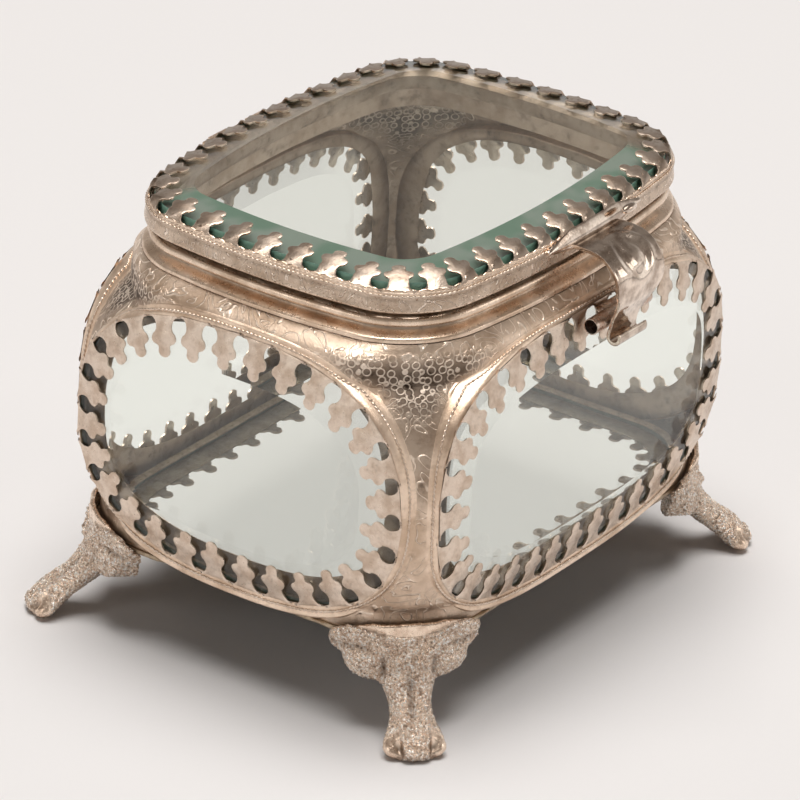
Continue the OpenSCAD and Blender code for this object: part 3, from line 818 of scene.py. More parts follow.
co = points_of(shell)
reach = window_reach(co)
corner = rise(np.abs(co[:, 0]), 24, 8) * rise(np.abs(co[:, 1]), 13, 8)
z = co[:, 2]
store(shell, "grape", corner * rise(z, 55, 4) * rise(reach, 2.6, 0.8) * fall(z, 66.5, 1.5))
store(shell, "relief", rise(reach, 1.9, 0.6) * rise(z, 20, 1))
# Darker just under the collar, a painted shade; darker also along a line low on the corners and over the
# upper corners.
shade_and_dark_bands = rise(z, 66.6, 1.2) * 0.3 + ridge(z, 19.0, 1.3) * 0.45 * corner
shade_and_dark_bands += 0.3 * corner * rise(z, 40, 6) * fall(z, 66, 3)
store(shell, "patina_and_shade", np.where(faces_middle(shell, co), INSIDE_PATINA, shade_and_dark_bands))
settle(shell, "casket", "pressed_metal", "body_shell")

# %% [markdown]
# The collar
#
# Above the body a rolled moulding carries the mouth: a lip, a deep cove, then a bead. Its
# cross-section is a short list of points whose corners are cut twice, which turns them into
# the soft curves of spun sheet.

# %% Roll the collar
COVE_H, BEAD_TOP = 2.2, 4.15
collar_shape = rounded([(0, 0), (0, 0.5), (0.15, 0.85), (0.8, 1.15), (1.7, 1.5), (2.25, 2.05), (2.1, 2.5),
                        (1.35, 2.55), (1.0, 3.0), (1.05, 3.7), (1.7, 4.25), (3.2, 4.3), (5, 4.3), (5, 3.6),
                        (5, 0.6), (5, 0), (2.5, 0)])
collar = band("collar_moulding", [at_height(collar_outline(-g), COLLAR_Z + h) for g, h in collar_shape],
              rolled)
co = points_of(collar)
h = co[:, 2] - COLLAR_Z
# Darker in the cove and on the top of the bead under the lid, a painted shade; the inside takes the inner
# dark tone.
store(collar, "patina_and_shade", np.where(faces_middle(collar, co, -1), INSIDE_PATINA,
                                 ridge(h, COVE_H, 0.35) * 0.6 + rise(h, BEAD_TOP, 0.2) * 0.25))
settle(collar, "casket", "pressed_metal", "collar")

# %% [markdown]
# One prong
#
# A gallery is a strip of stamped leaves. After the glass went in, each leaf was folded over
# its bevel by hand, so no two lie quite alike. The leaf is made once: a disc of points laid
# on the leaf's outline, inset and raised to crown it, and given the thickness of the sheet.
# Copies of it then take their own small turn, tilt and size.

# %% Stamp one leaf
LEAF = np.array([(3.18, -0.98), (2.75, -0.86), (2.25, -0.55), (1.8, -0.05), (1.58, 0.6), (1.56, 1.2),
                 (1.78, 1.72), (2.2, 2.1), (2.42, 2.65), (2.4, 3.2), (2.05, 3.62), (1.5, 3.82), (1.12, 4.08),
                 (1.1, 4.55), (1.18, 5.0), (0.98, 5.5), (0.55, 5.83), (0, 5.95)])
LEAF_LONG = LEAF[-1, 1]
LEAF_T, CROWN_IN, CROWN_UP = 0.36, 0.24, 0.1


def stamp_leaf():
    outline = np.vstack([LEAF, LEAF[-2::-1] * [-1, 1]])
    leaf = start(bpy.ops.mesh.primitive_circle_add, "leaf", vertices=len(outline), radius=1, fill_type="NGON")
    lay(leaf, at_height(outline, 0))
    tidy_normals(leaf)
    edit_all(leaf)
    bpy.ops.mesh.inset(thickness=CROWN_IN * MM)
    bpy.ops.transform.translate(value=(0, 0, CROWN_UP * MM))
    bpy.ops.object.mode_set(mode="OBJECT")
    apply_modifier(leaf, "SOLIDIFY", thickness=LEAF_T * MM,
                   offset=1 if leaf.data.polygons[0].normal.z < 0 else -1)
    return leaf


leaf = stamp_leaf()
leaf_points = points_of(leaf)
leaf_points[:, 2] -= leaf_points[:, 2].min()
leaf_faces = [list(f.vertices) for f in leaf.data.polygons]
bpy.data.objects.remove(leaf)
print("a leaf has", len(leaf_faces), "faces")


# %% Copy leaves round an outline
def places(points, pitch):
    """Places at an even pitch, as (x, y, angle of the line there)."""
    count = round(length_of(points) / pitch)
    fine = even(points, count * 40)
    at = fine[20::40]
    d = fine[21::40] - fine[19::40]
    return [(x, y, math.atan2(dy, dx)) for (x, y), (dx, dy) in zip(at, d)]


def arched(points, lift, curl):
    """Bend a leaf: its waist lifts and its tip comes back down to the glass."""
    bent = points.copy()
    s = np.clip(points[:, 1] / LEAF_LONG, 0, 1)
    bent[:, 2] += lift * np.sin(np.pi * s) + curl * np.clip(s - 0.55, 0, 1) ** 2
    return bent


def folded(points, line=0.35, angle=math.radians(78)):
    """Fold the root of a leaf down, so that it stands in the band it grew from."""
    root = np.clip(line - points[:, 1], 0, None)
    over = np.clip(root / 0.4, 0, 1) * angle
    bent = points.copy()
    bent[:, 1] = np.maximum(points[:, 1], line) - root * np.cos(over) - points[:, 2] * np.sin(over)
    bent[:, 2] = points[:, 2] * np.cos(over) - root * np.sin(over)
    return bent


def turned_by(points, angle, axis):
    return points @ np.array(Matrix.Rotation(angle, 3, axis)).T


def leaves(outline, base, tilt, seed, length=1.0, wild=1.0, lift=0.12, stands=False, under=99.0):
    """Points and faces of the leaves round an outline that faces up, in mm."""
    dice = np.random.default_rng(seed)
    points, faces, count = [], [], 0
    for x, y, angle in places(outline, PRONG_PITCH):
        own = arched(leaf_points * [dice.normal(1, 0.03), length * dice.normal(1, 0.03), 1],
                     abs(lift * dice.normal(1, 0.5)), dice.normal(-0.1, 0.3) * wild)
        own = turned_by(own, dice.normal(0, 0.03) * wild, "Y")
        own = turned_by(own, tilt + abs(dice.normal(0, 0.015)) * wild, "X")
        if stands:
            own = folded(own)
        own = turned_by(own, angle + dice.normal(0, 0.04) * wild, "Z")
        own += [x, y, base]
        own[:, 2] = np.minimum(own[:, 2], under)
        faces += [[i + count for i in f] for f in leaf_faces]
        points.append(own)
        count += len(own)
    return np.vstack(points), faces


def add_leaves(piece, points, faces):
    """Join loose points and faces, in mm, to a piece."""
    mesh = bpy.data.meshes.new("more")
    mesh.from_pydata((points * MM).tolist(), [], faces)
    more = bpy.data.objects.new("more", mesh)
    bpy.context.collection.objects.link(more)
    mesh.materials.append(leafed)
    tidy_normals(more)
    shade_smooth(50)
    join(piece, more)


# %% Twist a cord
def rope(outline, lies_at, pitch, radius, steps=6, sides=8):
    """Rings of a twisted cord on an outline that faces up; lies_at gives its height there."""
    count = round(length_of(outline) / pitch)
    line = even(outline, count * steps)
    normal = outward(line)
    height = lies_at(line)
    phase = np.arange(count * steps) * 2 * np.pi / steps
    rings = []
    for j in range(sides):
        a = 2 * np.pi * j / sides
        r = radius * (0.82 + 0.3 * np.cos(phase - a))
        rings.append(np.hstack([line + normal * (r * np.cos(a))[:, None],
                                (height + r * np.sin(a))[:, None]]))
    return rings


def add_cord(piece, outline, lies_at, pitch, radius):
    join(piece, band("cord", rope(outline, lies_at, pitch, radius), leafed, 60))


# %% [markdown]
# The window rings
#
# Each window is held by a ring. Seen in section it has a lip behind the glass, a wall round
# the pane, a flat strip that the leaves grow from, a twisted cord, and outside it a low
# ridge. The posts fall back from the window, so beyond the strip the ring follows the wall,
# and is drawn in a little. A table of how far the wall stands back, read from the body's own
# outlines, tells it how. A ring is made lying face up, then stood in its wall.

# %% How far the walls stand back
HEIGHTS = np.linspace(WINDOW_Z - 4, COLLAR_Z, 160)
SPAN = np.linspace(0, HALF_W, 190)
SIDE_POINTS, CORNER_POINTS = 20, 30
FARTHEST_BACK = 3.5


def wall_table(across, out, half):
    """Rows by height, columns by distance across: how far the wall is behind its plane."""
    rows = []
    for z in HEIGHTS:
        plan = body_outline(max(z, FLOOR_Z), side=SIDE_POINTS, corner=CORNER_POINTS)
        q = np.abs(plan[:2 * SIDE_POINTS + CORNER_POINTS])
        order = np.argsort(q[:, across])
        rows.append(half - np.interp(SPAN, q[order, across], q[order, out]))
    return np.array(rows)


STANDS_BACK = {0: wall_table(0, 1, HALF_D), 90: wall_table(1, 0, HALF_W)}


def stands_back(table, points):
    """Read the table at points given as (across, height)."""
    i = np.clip((points[:, 1] - HEIGHTS[0]) / (HEIGHTS[1] - HEIGHTS[0]), 0, len(HEIGHTS) - 1.001)
    j = np.clip(np.abs(points[:, 0]) / SPAN[1], 0, len(SPAN) - 1.001)
    row, column = i.astype(int), j.astype(int)
    f, g = i - row, j - column
    low = table[row, column] * (1 - g) + table[row, column + 1] * g
    high = table[row + 1, column] * (1 - g) + table[row + 1, column + 1] * g
    return np.clip(low * (1 - f) + high * f, 0, FARTHEST_BACK)


# %% Stand a ring in its wall
def stand(piece, turned, out):
    """Turn a piece that faces up into the wall that is turned so many degrees from the front."""
    piece.data.transform(Matrix.Rotation(math.radians(turned), 4, "Z")
                         @ Matrix.Translation((0, -out * MM, 0))
                         @ Matrix.Rotation(math.pi / 2, 4, "X"))
    piece.data.update()


# Distance out from the window's line, height, and how much it follows the wall
RING = rounded([(3.3, -0.35, 1), (3.05, 0.08, 1), (2.75, 0.26, 1), (2.4, 0.1, 1), (1.9, 0.04, 0.8),
                (1.5, 0.12, 0.35), (0.95, 0.12, 0), (0.8, -0.1, 0), (0.8, -3.1, 0), (-1.6, -3.12, 0),
                (-3.3, -3.15, 0), (-3.4, -3.4, 0), (0.7, -3.6, 0), (1.4, -3.3, 0), (1.5, -1.6, 0.3),
                (2.4, -0.9, 1)], 1)
BEVEL_TILT = math.atan(BEVEL_T / BEVEL_W)
STRIP_G, RIDGE_G, RIDGE_DROP = 1.5, 2.2, 0.22
CORD_G, CORD_H, CORD_PITCH, CORD_R = 1.85, 0.13, 0.85, 0.27


def window_ring(wall, window, turned, out, seed):
    root = window_outline(window, 420)
    table = STANDS_BACK[turned % 180]
    rings = []
    post = np.clip(stands_back(table, grown(root, 3)) / 1.6 - 0.2, 0, 1)[:, None]
    share = (root[:, 1:] - window[1]) / (window[3] - window[1])
    lip = np.interp(share, [0, 0.7, 1], [1.15, 1.1, 0.2])
    for g, h, follows in RING:
        reach = g - 0.5 * max(g - STRIP_G, 0) * post if g > -1 else g * lip
        line = root + reach * outward(root)
        lower = RIDGE_DROP * np.clip(g - RIDGE_G, 0, 0.5) / 0.5 * post[:, 0]
        rings.append(np.hstack([line, (h - lower - follows * stands_back(table, line))[:, None]]))
    ring = band(wall + "_ring", rings, pressed)
    seat = root + (CORD_G - 0.2 * post) * outward(root)
    add_cord(ring, seat, lambda line: CORD_H - 0.75 * stands_back(table, line), CORD_PITCH, CORD_R)
    add_leaves(ring, *leaves(window_outline(window, 2000), 0.02, BEVEL_TILT, seed))
    co = points_of(ring)
    behind = inside_window(window, co, 0.9) & (co[:, 2] < -0.4)
    store(ring, "patina_and_shade", np.where(behind, np.where(co[:, 2] > -2.9, 0.65, 0.4), 0))
    stand(ring, turned, out)
    settle(ring, "casket", "gallery_metal", wall + "_bezel")


for wall, window, turned, out, seed in WALLS:
    window_ring(wall, window, turned, out, seed)


# %% [markdown]
# The panes
#
# A pane is a slab with one bevelled face. It starts as a cylinder with as many sides as its
# outline has points. Both ends are inset once, and every point moves to its place: back,
# edge or face. The ring underneath is wider than the bevel and carries the "below" value,
# for the painted green of the lid. The edge itself is ground glass, which is green and not
# clear, and takes a painted glow where the camera meets it first.

# %% Grind a pane
UNDER_RING, BEVEL_EASE = 4.2, 0.15
BELOW_EDGE, BELOW_INNER = 1, 0.49


def pane(name, outline, z0, node, body, edge=-0.15, turned=None, out=0.0, flip=False, clear=clear_glass,
         ground=ground_glass, bevel=BEVEL_W):
    """A pane whose back lies at z0 and whose rim is the outline grown by edge."""
    count = len(outline)
    piece = start(bpy.ops.mesh.primitive_cylinder_add, name, vertices=count, radius=1, depth=2)
    bpy.ops.object.mode_set(mode="EDIT")
    bpy.ops.mesh.select_mode(type="FACE")
    bpy.ops.mesh.select_all(action="DESELECT")
    bpy.ops.object.mode_set(mode="OBJECT")
    for face in piece.data.polygons:
        face.select = abs(face.normal.z) > 0.9
    bpy.ops.object.mode_set(mode="EDIT")
    bpy.ops.mesh.inset(thickness=0.3)
    bpy.ops.mesh.select_mode(type="VERT")
    bpy.ops.object.mode_set(mode="OBJECT")
    for material in (clear, ground):
        piece.data.materials.append(material)
    for face in piece.data.polygons:
        face.material_index = 1 if abs(face.normal.z) < 0.5 else 0
    unit = unit_of(piece)
    index = spokes(unit, count)
    inside = np.hypot(unit[:, 0], unit[:, 1]) < 0.9
    below = unit[:, 2] < 0
    inset = np.where(below[:, None], grown(outline, -bevel - UNDER_RING)[index],
                     grown(outline, -bevel - BEVEL_EASE)[index])
    place = np.where(inside[:, None], inset, grown(outline, edge)[index])
    height = np.where(below, z0, np.where(inside, z0 + GLASS_T, z0 + GLASS_T - BEVEL_T))
    if flip:
        height = 2 * z0 + GLASS_T - height
    lay(piece, np.hstack([place, height[:, None]]))
    store(piece, "below", np.where(below, np.where(inside, BELOW_INNER, BELOW_EDGE), 0))
    tidy_normals(piece)
    shade_smooth(8)
    if turned is not None:
        stand(piece, turned, out)
    settle(piece, body, "glass", node)


for wall, window, turned, out, seed in WALLS:
    pane(wall + "_pane", window_outline(window, 180), -3.0, wall + "_glass", "casket", 0.6, turned, out)

# %% [markdown]
# The lid
#
# The lid is an engraved band with two cord lines along it and small scallops along its top.
# The scallops are cut into the band itself: the height of its upper rows rises and falls
# round the outline. The leaves stand up from the band and fold in over the glass.

# %% Turn the lid's band
LID_EDGE = BAND_TOP - 0.1
LID_POINTS = 1152
SCALLOP_H, SCALLOPED_FROM = 0.3, 3.8
LID_CORDS = ((2.95, 0.26, 0.26), (3.5, 0.14, 0.12))
LID_BAND = rounded([(0.4, 0), (0.6, 0.2), (0.55, 0.6), (0.42, 1.6), (0.32, 2.5), (0.2, 3.0), (0.12, 3.5),
                    (0.1, 3.95), (-0.05, 4.1), (-0.3, 4.1), (-0.45, 3.8), (-0.6, 2), (-0.6, 0.6),
                    (-0.3, 0)], 1)

lid_line = even(lid_outline(0, 40, 80), LID_POINTS)
lid_run = np.arange(LID_POINTS) / LID_POINTS
prong_count = round(length_of(lid_line) / PRONG_PITCH)
scallop = SCALLOP_H * np.abs(np.sin(3 * np.pi * lid_run * prong_count)) ** 0.7
rings = []
for g, h in LID_BAND:
    lifted = h + np.where(h > SCALLOPED_FROM, 1, 0) * (scallop - 0.25)
    rings.append(np.hstack([grown(lid_line, g), (LID_Z + lifted)[:, None]]))
lid_band = band("lid_band", rings, banded)
for height, out, radius in LID_CORDS:
    add_cord(lid_band, grown(lid_line, out), lambda line: np.full(len(line), LID_Z + height), 0.9, radius)
add_leaves(lid_band, *leaves(grown(lid_line, -0.25), LID_EDGE, BEVEL_TILT, 21, length=0.86, wild=1.3,
                             lift=0.1, stands=True, under=box_before[1][2] / MM - 0.02))
co = points_of(lid_band)
h = co[:, 2] - LID_Z
# The leaves' upward faces are painted dark, a painted shade; the band is also darker at its foot and along a
# line 2.5 mm up.
painted_dark_leaf_tops = np.where((h > 5.1) & (vectors_of(lid_band, "normal")[:, 2] > 0.6), 0.45, 0)
store(lid_band, "patina_and_shade", fall(h, 0.35, 0.3) * 0.5 + ridge(h, 2.5, 0.25) * 0.35 + painted_dark_leaf_tops)
store(lid_band, "relief", np.where((h > 0.3) & (h < 2.5), 1, 0))
settle(lid_band, "lid", "gallery_metal", "lid_gallery")

# %% The lid's rim and pane
LEDGE_Z = LID_EDGE + BEVEL_T - GLASS_T - 0.12
SHELF_Z = LEDGE_Z - 1.2
RIM_Z = MOUTH_Z - 0.5
rim_shape = rounded([(-1.1, SHELF_Z), (-1.1, LEDGE_Z), (-5.2, LEDGE_Z), (-5.2, RIM_Z), (-4.1, RIM_Z),
                     (-4.1, SHELF_Z)], 1)
rim = band("lid_rim_roll", [at_height(lid_outline(g), h) for g, h in rim_shape[::-1]], pressed)
store(rim, "patina_and_shade", 0.35)
settle(rim, "lid", "pressed_metal", "lid_rim")
pane("lid_pane", even(lid_outline(-1.0), 240), LID_EDGE + BEVEL_T - GLASS_T, "lid_glass", "lid",
     clear=bevel_glass, ground=lid_edge_glass)

# %% [markdown]
# The base
#
# Under the body runs a narrow, roughly finished flange with a wall inside it that holds the
# glass floor. Its outer edge wanders a little, as filed metal does. A second gallery,
# underneath, folds over the floor's bevel.

# %% Lay the base
FLOOR_IN = 4.95
BASE_POINTS, WOBBLE = 900, 0.28
flange = [(-0.2, BASE_Z + 0.15), (-0.1, BASE_Z + 0.5), (-0.25, FLOOR_Z), (-4.4, FLOOR_Z), (-4.3, 21.0),
          (-6.2, 21.2), (-6.2, 20.7), (-4.95, 20.6), (-4.95, BASE_Z), (-0.5, BASE_Z)]
base_line = even(body_outline(FLOOR_Z, 0, 40, 60), BASE_POINTS)
dice = np.random.default_rng(5)
wobble = np.convolve(np.tile(dice.normal(0, 1, BASE_POINTS // 3), 3).repeat(3), np.ones(9) / 9, "same")
wobble = wobble[BASE_POINTS:2 * BASE_POINTS]
rings = []
for g, h in rounded(flange, 1):
    uneven = wobble * (WOBBLE if g > -1 and h < FLOOR_Z - 0.2 else 0)
    rings.append(np.hstack([base_line + outward(base_line) * (g + np.minimum(uneven, 0.15))[:, None],
                            (h + np.maximum(uneven, -0.1))[:, None]]))
base = band("base_flange", rings, base_silver)
store(base, "patina_and_shade", 0.25)
settle(base, "casket", "base_metal", "base_frame")
pane("floor_pane", even(body_outline(FLOOR_Z, FLOOR_IN), 240), BASE_Z + 0.2, "base_glass", "casket",
     flip=True, bevel=3.2)

# %% Fold the gallery under the floor
strip = [(0.85, -0.18), (0.85, 0.5), (0.05, 0.5), (0, 0.05), (-3.4, 0), (-3.4, -0.18), (-1.5, -0.18)]
gallery_line = even(body_outline(FLOOR_Z, FLOOR_IN, 40, 60), BASE_POINTS)
gallery = band("floor_gallery", [at_height(grown(gallery_line, g), h) for g, h in strip], base_silver)
add_leaves(gallery, *leaves(gallery_line, 0, 0, 31, wild=0.3, lift=0.0))
gallery.data.transform(Matrix.Translation((0, 0, BASE_Z * MM)) @ Matrix.Rotation(math.pi, 4, "X"))
store(gallery, "patina_and_shade", 0.3)
settle(gallery, "casket", "gallery_metal", "base_gallery")

# %% [markdown]
# The feet
#
# The feet are rough sand castings, so no clean outline would look right. Each starts from
# a copy of its solid, is remeshed into an even skin of small faces, softened, and then
# pushed along its own normals: knuckles and ears on the bracket, a shield between them, two
# ribs down the leg, notches between the toes, and a fine roughness over all of it.

# %% Cast a foot
FOOT_X, FOOT_Y = HALF_W - 9.2, HALF_D - 8.7
SKIN_MM = 0.32
SAND = 0.09
RIB_W, TOE_W, SHIELD_W, CREASE_W = 2.2, 2.9, 1.8, 4.4


def foot_relief(w, z, along, lip):
    """How far the skin stands out at a distance w beside the foot's middle, in mm."""
    def knob(cx, cz, rx, rz):
        return np.exp(-((w - cx) / rx) ** 2 - ((z - cz) / rz) ** 2)

    push = 0.95 * knob(7.2, 12.4, 2.4, 2.2) + 0.75 * knob(11.6, 17.6, 2.0, 1.6)
    push -= 0.8 * ridge(w, CREASE_W, 0.5) * between(z, 9.5, 15, 1.5)
    push -= 0.7 * ridge(z, 15.3, 0.5) * rise(w, 6, 2)
    shield = w - np.maximum(SHIELD_W, SHIELD_W + (z - 13.5) * 1.05)
    push += 0.8 * ridge(shield, 0, 0.6) * between(z, 12.5, 18, 1)
    push += 0.5 * ridge(w, RIB_W, 0.8) * between(z, 1.5, 12.5, 2)
    push -= 0.5 * ridge(w, 0, 0.6) * between(z, 4.5, 12.5, 2)
    push -= 0.35 * ridge(z, lip, 0.3)
    push -= 1.1 * ridge(w, TOE_W, 0.7) * rise(along, 15.5, 1)
    return push


def cast_foot(name, node, sx, sy, seed):
    foot = bpy.data.objects.new(name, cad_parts[node].data.copy())
    bpy.context.collection.objects.link(foot)
    edit_all(foot)
    bpy.ops.mesh.remove_doubles(threshold=0.000005)
    bpy.ops.object.mode_set(mode="OBJECT")
    apply_modifier(foot, "REMESH", mode="VOXEL", voxel_size=SKIN_MM * MM)
    apply_modifier(foot, "SMOOTH", factor=0.5, iterations=2)
    co = points_of(foot)
    normals = vectors_of(foot, "normal")
    x, y, z = co[:, 0] - sx * FOOT_X, co[:, 1] - sy * FOOT_Y, co[:, 2]
    along = (x * sx + y * sy) / math.sqrt(2)
    w = np.abs((x * sy - y * sx) / math.sqrt(2))
    facing = np.clip(normals[:, 0] * sx * 0.7 + normals[:, 1] * sy * 0.7 + normals[:, 2] * 0.5, 0, 1)
    lip = 18.1 + 1.4 * np.clip(w / 9.5, 0, 1) ** 2
    sandy = fall(z, lip, 0.4) * np.clip(np.maximum(2.6 - w, 14.5 - along) / 0.5, 0, 1)
    dice = np.random.default_rng(seed)
    rough = dice.normal(0, SAND, len(co)) * (0.15 + 0.85 * sandy)
    inside = (np.abs(co[:, 0]) < HALF_W - 1.5) & (np.abs(co[:, 1]) < HALF_D - 1.5) & (z > BASE_Z - 0.4)
    push = np.where(inside, 0, foot_relief(w, z, along, lip) * facing + rough)
    co += normals * push[:, None]
    co[:, 2] = np.maximum(co[:, 2], 0)
    low, high = (np.array(c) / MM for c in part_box(node))
    lay(foot, np.clip(co, low, high))
    foot.data.materials.clear()
    foot.data.materials.append(rough_cast)
    bpy.ops.object.shade_smooth()
    store(foot, "patina_and_shade", np.clip(-push - 0.1, 0, 0.6) * 0.8)
    store(foot, "sandy", sandy)
    settle(foot, "casket", "cast_metal", node)


for seed, (name, sx, sy) in enumerate((("front_left", -1, -1), ("front_right", 1, -1), ("back_left", -1, 1),
                                       ("back_right", 1, 1))):
    cast_foot(name + "_casting", "foot_" + name, sx, sy, seed)

# %% [markdown]
# The clasp
#
# A strap of spring metal folds out from a pointed plate on the lid, arches down over the
# catch tube and ends in a rolled lip. Its middle line is a smooth curve through a few
# points; a flat grid is laid along it, thickened, and rounded at its edges. The oval rib
# that stiffens it is raised in the grid before it gets its thickness.

# %% The clasp's curve
TUBE_Y, TUBE_Z = -HALF_D - 2.8, WINDOW_TOP - 0.9
CLASP_X, CLASP_W, LIP_W, WING_W, CLASP_T = 3.8, 13.6, 8.0, 28.0, 0.6
ACROSS, ALONG = 33, 90


def smooth_line(points, count):
    """An even curve through the points (each span a Catmull-Rom piece)."""
    p = np.asarray(points, float)
    p = np.vstack([2 * p[0] - p[1], p, 2 * p[-1] - p[-2]])
    t = np.linspace(0, 1, 20, endpoint=False)[:, None]
    spans = []
    for a, b, c, d in zip(p[:-3], p[1:-2], p[2:-1], p[3:]):
        spans.append(0.5 * (2 * b + (c - a) * t + (2 * a - 5 * b + 4 * c - d) * t ** 2
                            + (3 * b - 3 * c + d - a) * t ** 3))
    line = np.vstack(spans + [p[-2:-1]])
    run = np.concatenate([[0], np.cumsum(np.linalg.norm(np.diff(line, axis=0), axis=1))])
    at = np.linspace(0, run[-1], count)
    return np.stack([np.interp(at, run, line[:, c]) for c in range(2)], 1), run[-1]


lip = [(2.85 + 1.1 * math.cos(math.radians(a)), -2.2 + 1.1 * math.sin(math.radians(a)))
       for a in range(175, 401, 25)]
strap_line, strap_length = smooth_line([(-5.9, 12.4), (-3.8, 12.6), (-0.6, 12.3), (2, 11), (3.7, 8.8),
                                        (4.1, 6.4), (3.8, 4.2), (2.95, 2.2), (2.3, 0.7), (2, -0.6)] + lip,
                                       ALONG)

# %% Bend the strap
strap = start(bpy.ops.mesh.primitive_grid_add, "clasp_strap", x_subdivisions=ACROSS - 1,
              y_subdivisions=ALONG - 1, size=2)
col, row = grid_places(strap, ACROSS - 1, ALONG - 1)
height = strap_line[:, 1]
width = np.interp(height, [0, 6], [LIP_W, CLASP_W]) / 2
shift = np.interp(height, [-1, 5], [-1.5, 0])
u = (col / (ACROSS - 1) * 2 - 1) * width[row] + shift[row]
s = row / (ALONG - 1) * strap_length
slope = np.gradient(strap_line, axis=0)
slope /= np.linalg.norm(slope, axis=1)[:, None]
normal = np.stack([-slope[:, 1], slope[:, 0]], 1)
oval = np.hypot(u / 5.4, (s - 8.4) / 6.2)
boss = np.hypot(u / 1.7, (s - 8.2) / 2.6)
raise_by = 0.2 * ridge(oval, 0.82, 0.13) - 0.22 * ridge(oval, 0.5, 0.16)
raise_by += 0.15 * ridge(boss, 0, 1) - 0.18 * rise(s, 6, 3)
raise_by *= fall(s, 17, 3)
p = strap_line[row] + normal[row] * raise_by[:, None]
lay(strap, np.stack([CLASP_X + u, TUBE_Y - p[:, 0], TUBE_Z + p[:, 1]], 1))
strap.data.materials.append(sprung)
tidy_normals(strap)
apply_modifier(strap, "SOLIDIFY", thickness=CLASP_T * MM, offset=0)

# %% The tab beside it
TAB_X, TAB_Y, TAB_Z = CLASP_X + 7.4, -36.2, LID_Z + 4.4
knob = start(bpy.ops.mesh.primitive_uv_sphere_add, "knob", segments=24, ring_count=16, radius=1)
lay(knob, unit_of(knob)[:, [2, 0, 1]] * [2.0, 0.8, 0.8] + [TAB_X, TAB_Y, TAB_Z])
knob.data.materials.append(sprung)
only(knob)
bpy.ops.object.shade_smooth()

# %% The plate with its wings
PLATE_Z, PLATE_H = LID_Z + 1.5, 3.2
TIP_Z = PLATE_Z + PLATE_H * 0.45
wings = start(bpy.ops.mesh.primitive_grid_add, "wings", x_subdivisions=56, y_subdivisions=10, size=2)
unit = unit_of(wings)
x = unit[:, 0] * WING_W / 2
up_plate = (unit[:, 1] + 1) / 2
share = np.clip((WING_W / 2 - np.abs(x)) / ((WING_W - CLASP_W) / 2), 0.03, 1) ** 0.8
low = TIP_Z + (PLATE_Z - TIP_Z) * share
high = TIP_Z + (PLATE_Z + PLATE_H - TIP_Z) * share
line = lid_outline(0.75, 60, 60)
front = line[line[:, 1] < -20]
order = np.argsort(front[:, 0])
y = np.interp(CLASP_X + x, front[order, 0], front[order, 1])
y = y - 0.3 * np.clip(1 - (up_plate * 2 - 1) ** 2, 0, 1) + 1.1 * np.clip(up_plate - 0.3, 0, 1) * share
lay(wings, np.stack([CLASP_X + x, y, low + (high - low) * (unit[:, 1] + 1) / 2], 1))
wings.data.materials.append(sprung)
tidy_normals(wings)
apply_modifier(wings, "SOLIDIFY", thickness=CLASP_T * 0.9 * MM, offset=0)
join(strap, wings, knob)
apply_modifier(strap, "BEVEL", width=0.12 * MM, segments=2, angle_limit=math.radians(50))
shade_smooth(50)
co = points_of(strap)
# The strap's upward faces near its top are painted dark, a painted shade; the strap is also a little darker
# towards the bottom.
painted_dark_strap_tops = rise(vectors_of(strap, "normal")[:, 2], 0.5, 0.3) * rise(co[:, 2] - TUBE_Z, 10.5, 1)
store(strap, "patina_and_shade", painted_dark_strap_tops * 0.3 + fall(co[:, 2], TUBE_Z + 4, 6) * 0.12)
settle(strap, "lid", "clasp_metal", "clasp")

# %% [markdown]
# The catch tube
#
# The clasp snaps over a short length of drawn tube that is soldered in front of the window
# ring. Heat has left a copper blush on it. A band gives the tube its wall, and a small
# saddle of solder joins it to the ring.

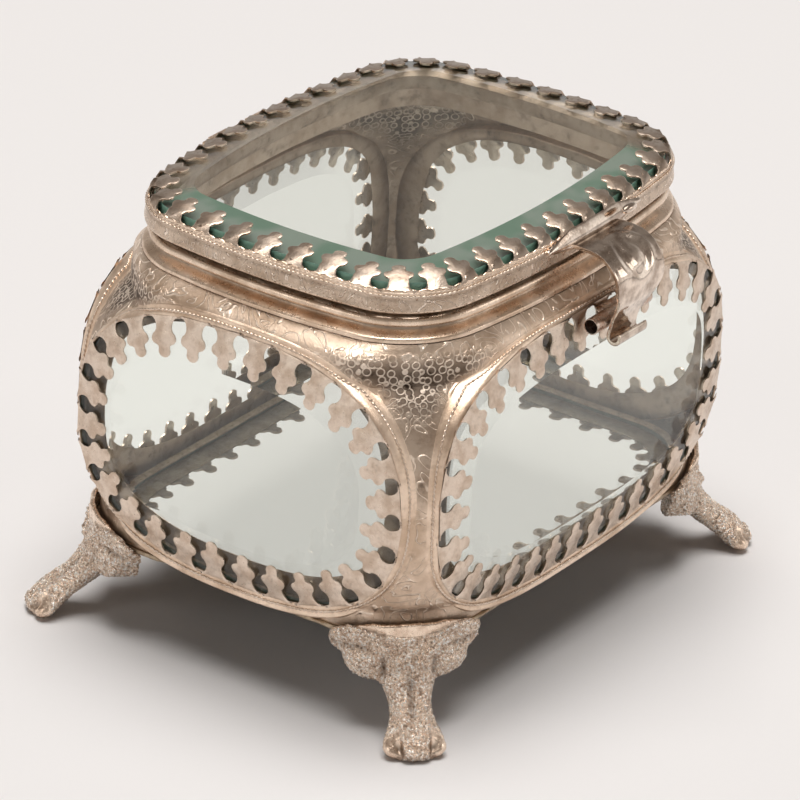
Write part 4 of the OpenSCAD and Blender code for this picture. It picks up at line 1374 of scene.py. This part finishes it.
# %% Draw the tube
TUBE_R, TUBE_L, TUBE_WALL, TUBE_SIDES = 1.5, 16.4, 0.35, 48
a = np.linspace(0, 2 * np.pi, TUBE_SIDES, endpoint=False)
circle = np.stack([np.cos(a), np.sin(a)], 1)
half, bore = TUBE_L / 2, TUBE_R - TUBE_WALL
tube_shape = rounded([(TUBE_R, -half), (TUBE_R, half), (bore, half), (bore, -half)], 1)
tube_shape = np.vstack([tube_shape[:2], [(TUBE_R, 0)], tube_shape[2:]])
tube = band("catch_roll", [at_height(circle * r, x) for r, x in tube_shape], tubing)
tube.data.transform(Matrix.Translation((CLASP_X * MM, TUBE_Y * MM, TUBE_Z * MM))
                    @ Matrix.Rotation(math.pi / 2, 4, "Y"))
tidy_normals(tube)

# %% Solder it on
saddle = start(bpy.ops.mesh.primitive_cube_add, "saddle", size=1)
saddle.scale = (TUBE_L * 0.6 * MM, 1.8 * MM, 1.2 * MM)
saddle.location = ((CLASP_X + 1) * MM, (TUBE_Y + 1.3) * MM, (TUBE_Z + 1.1) * MM)
bpy.ops.object.transform_apply(location=True, rotation=True, scale=True)
saddle.data.materials.append(tubing)
apply_modifier(saddle, "BEVEL", width=0.6 * MM, segments=4)
join(tube, saddle)
shade_smooth(50)
co = points_of(tube)
inside = np.hypot(co[:, 1] - TUBE_Y, co[:, 2] - TUBE_Z) < TUBE_R - 0.4
# The bore is painted dark, a painted shade.
store(tube, "patina_and_shade", np.where(inside, 0.8, 0.12))
settle(tube, "casket", "tube_metal", "catch_tube")

# %% [markdown]
# The hinge
#
# The hinge at the back is plain: two leaves with rolled knuckles on a steel pin. Its solids
# already have the right shape, so they keep it, and only take the metal. Small domed rivets
# show how the leaves are fixed.

# %% Finish the hinge
RIVET_R, RIVET_FLAT = 0.75, 0.45
for node in ("hinge_leaf_body", "hinge_leaf_lid", "hinge_pin"):
    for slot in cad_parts[node].material_slots:
        slot.material = rolled


def rivet(name, place, body):
    head = start(bpy.ops.mesh.primitive_uv_sphere_add, name, segments=16, ring_count=8, radius=RIVET_R * MM)
    lay(head, points_of(head) * [1, RIVET_FLAT, 1] + place)
    head.data.materials.append(rolled)
    only(head)
    bpy.ops.object.shade_smooth()
    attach(head, body)


for number, x in enumerate((-10, 0, 10)):
    rivet("lid_rivet_%d" % number, (x, LID_HY + 0.95, LID_Z + 3.0), "lid")
    rivet("body_rivet_%d" % number, (x, COLLAR_HY + 1.05, COLLAR_Z + 1.3), "casket")
print("the hinge has six rivets")
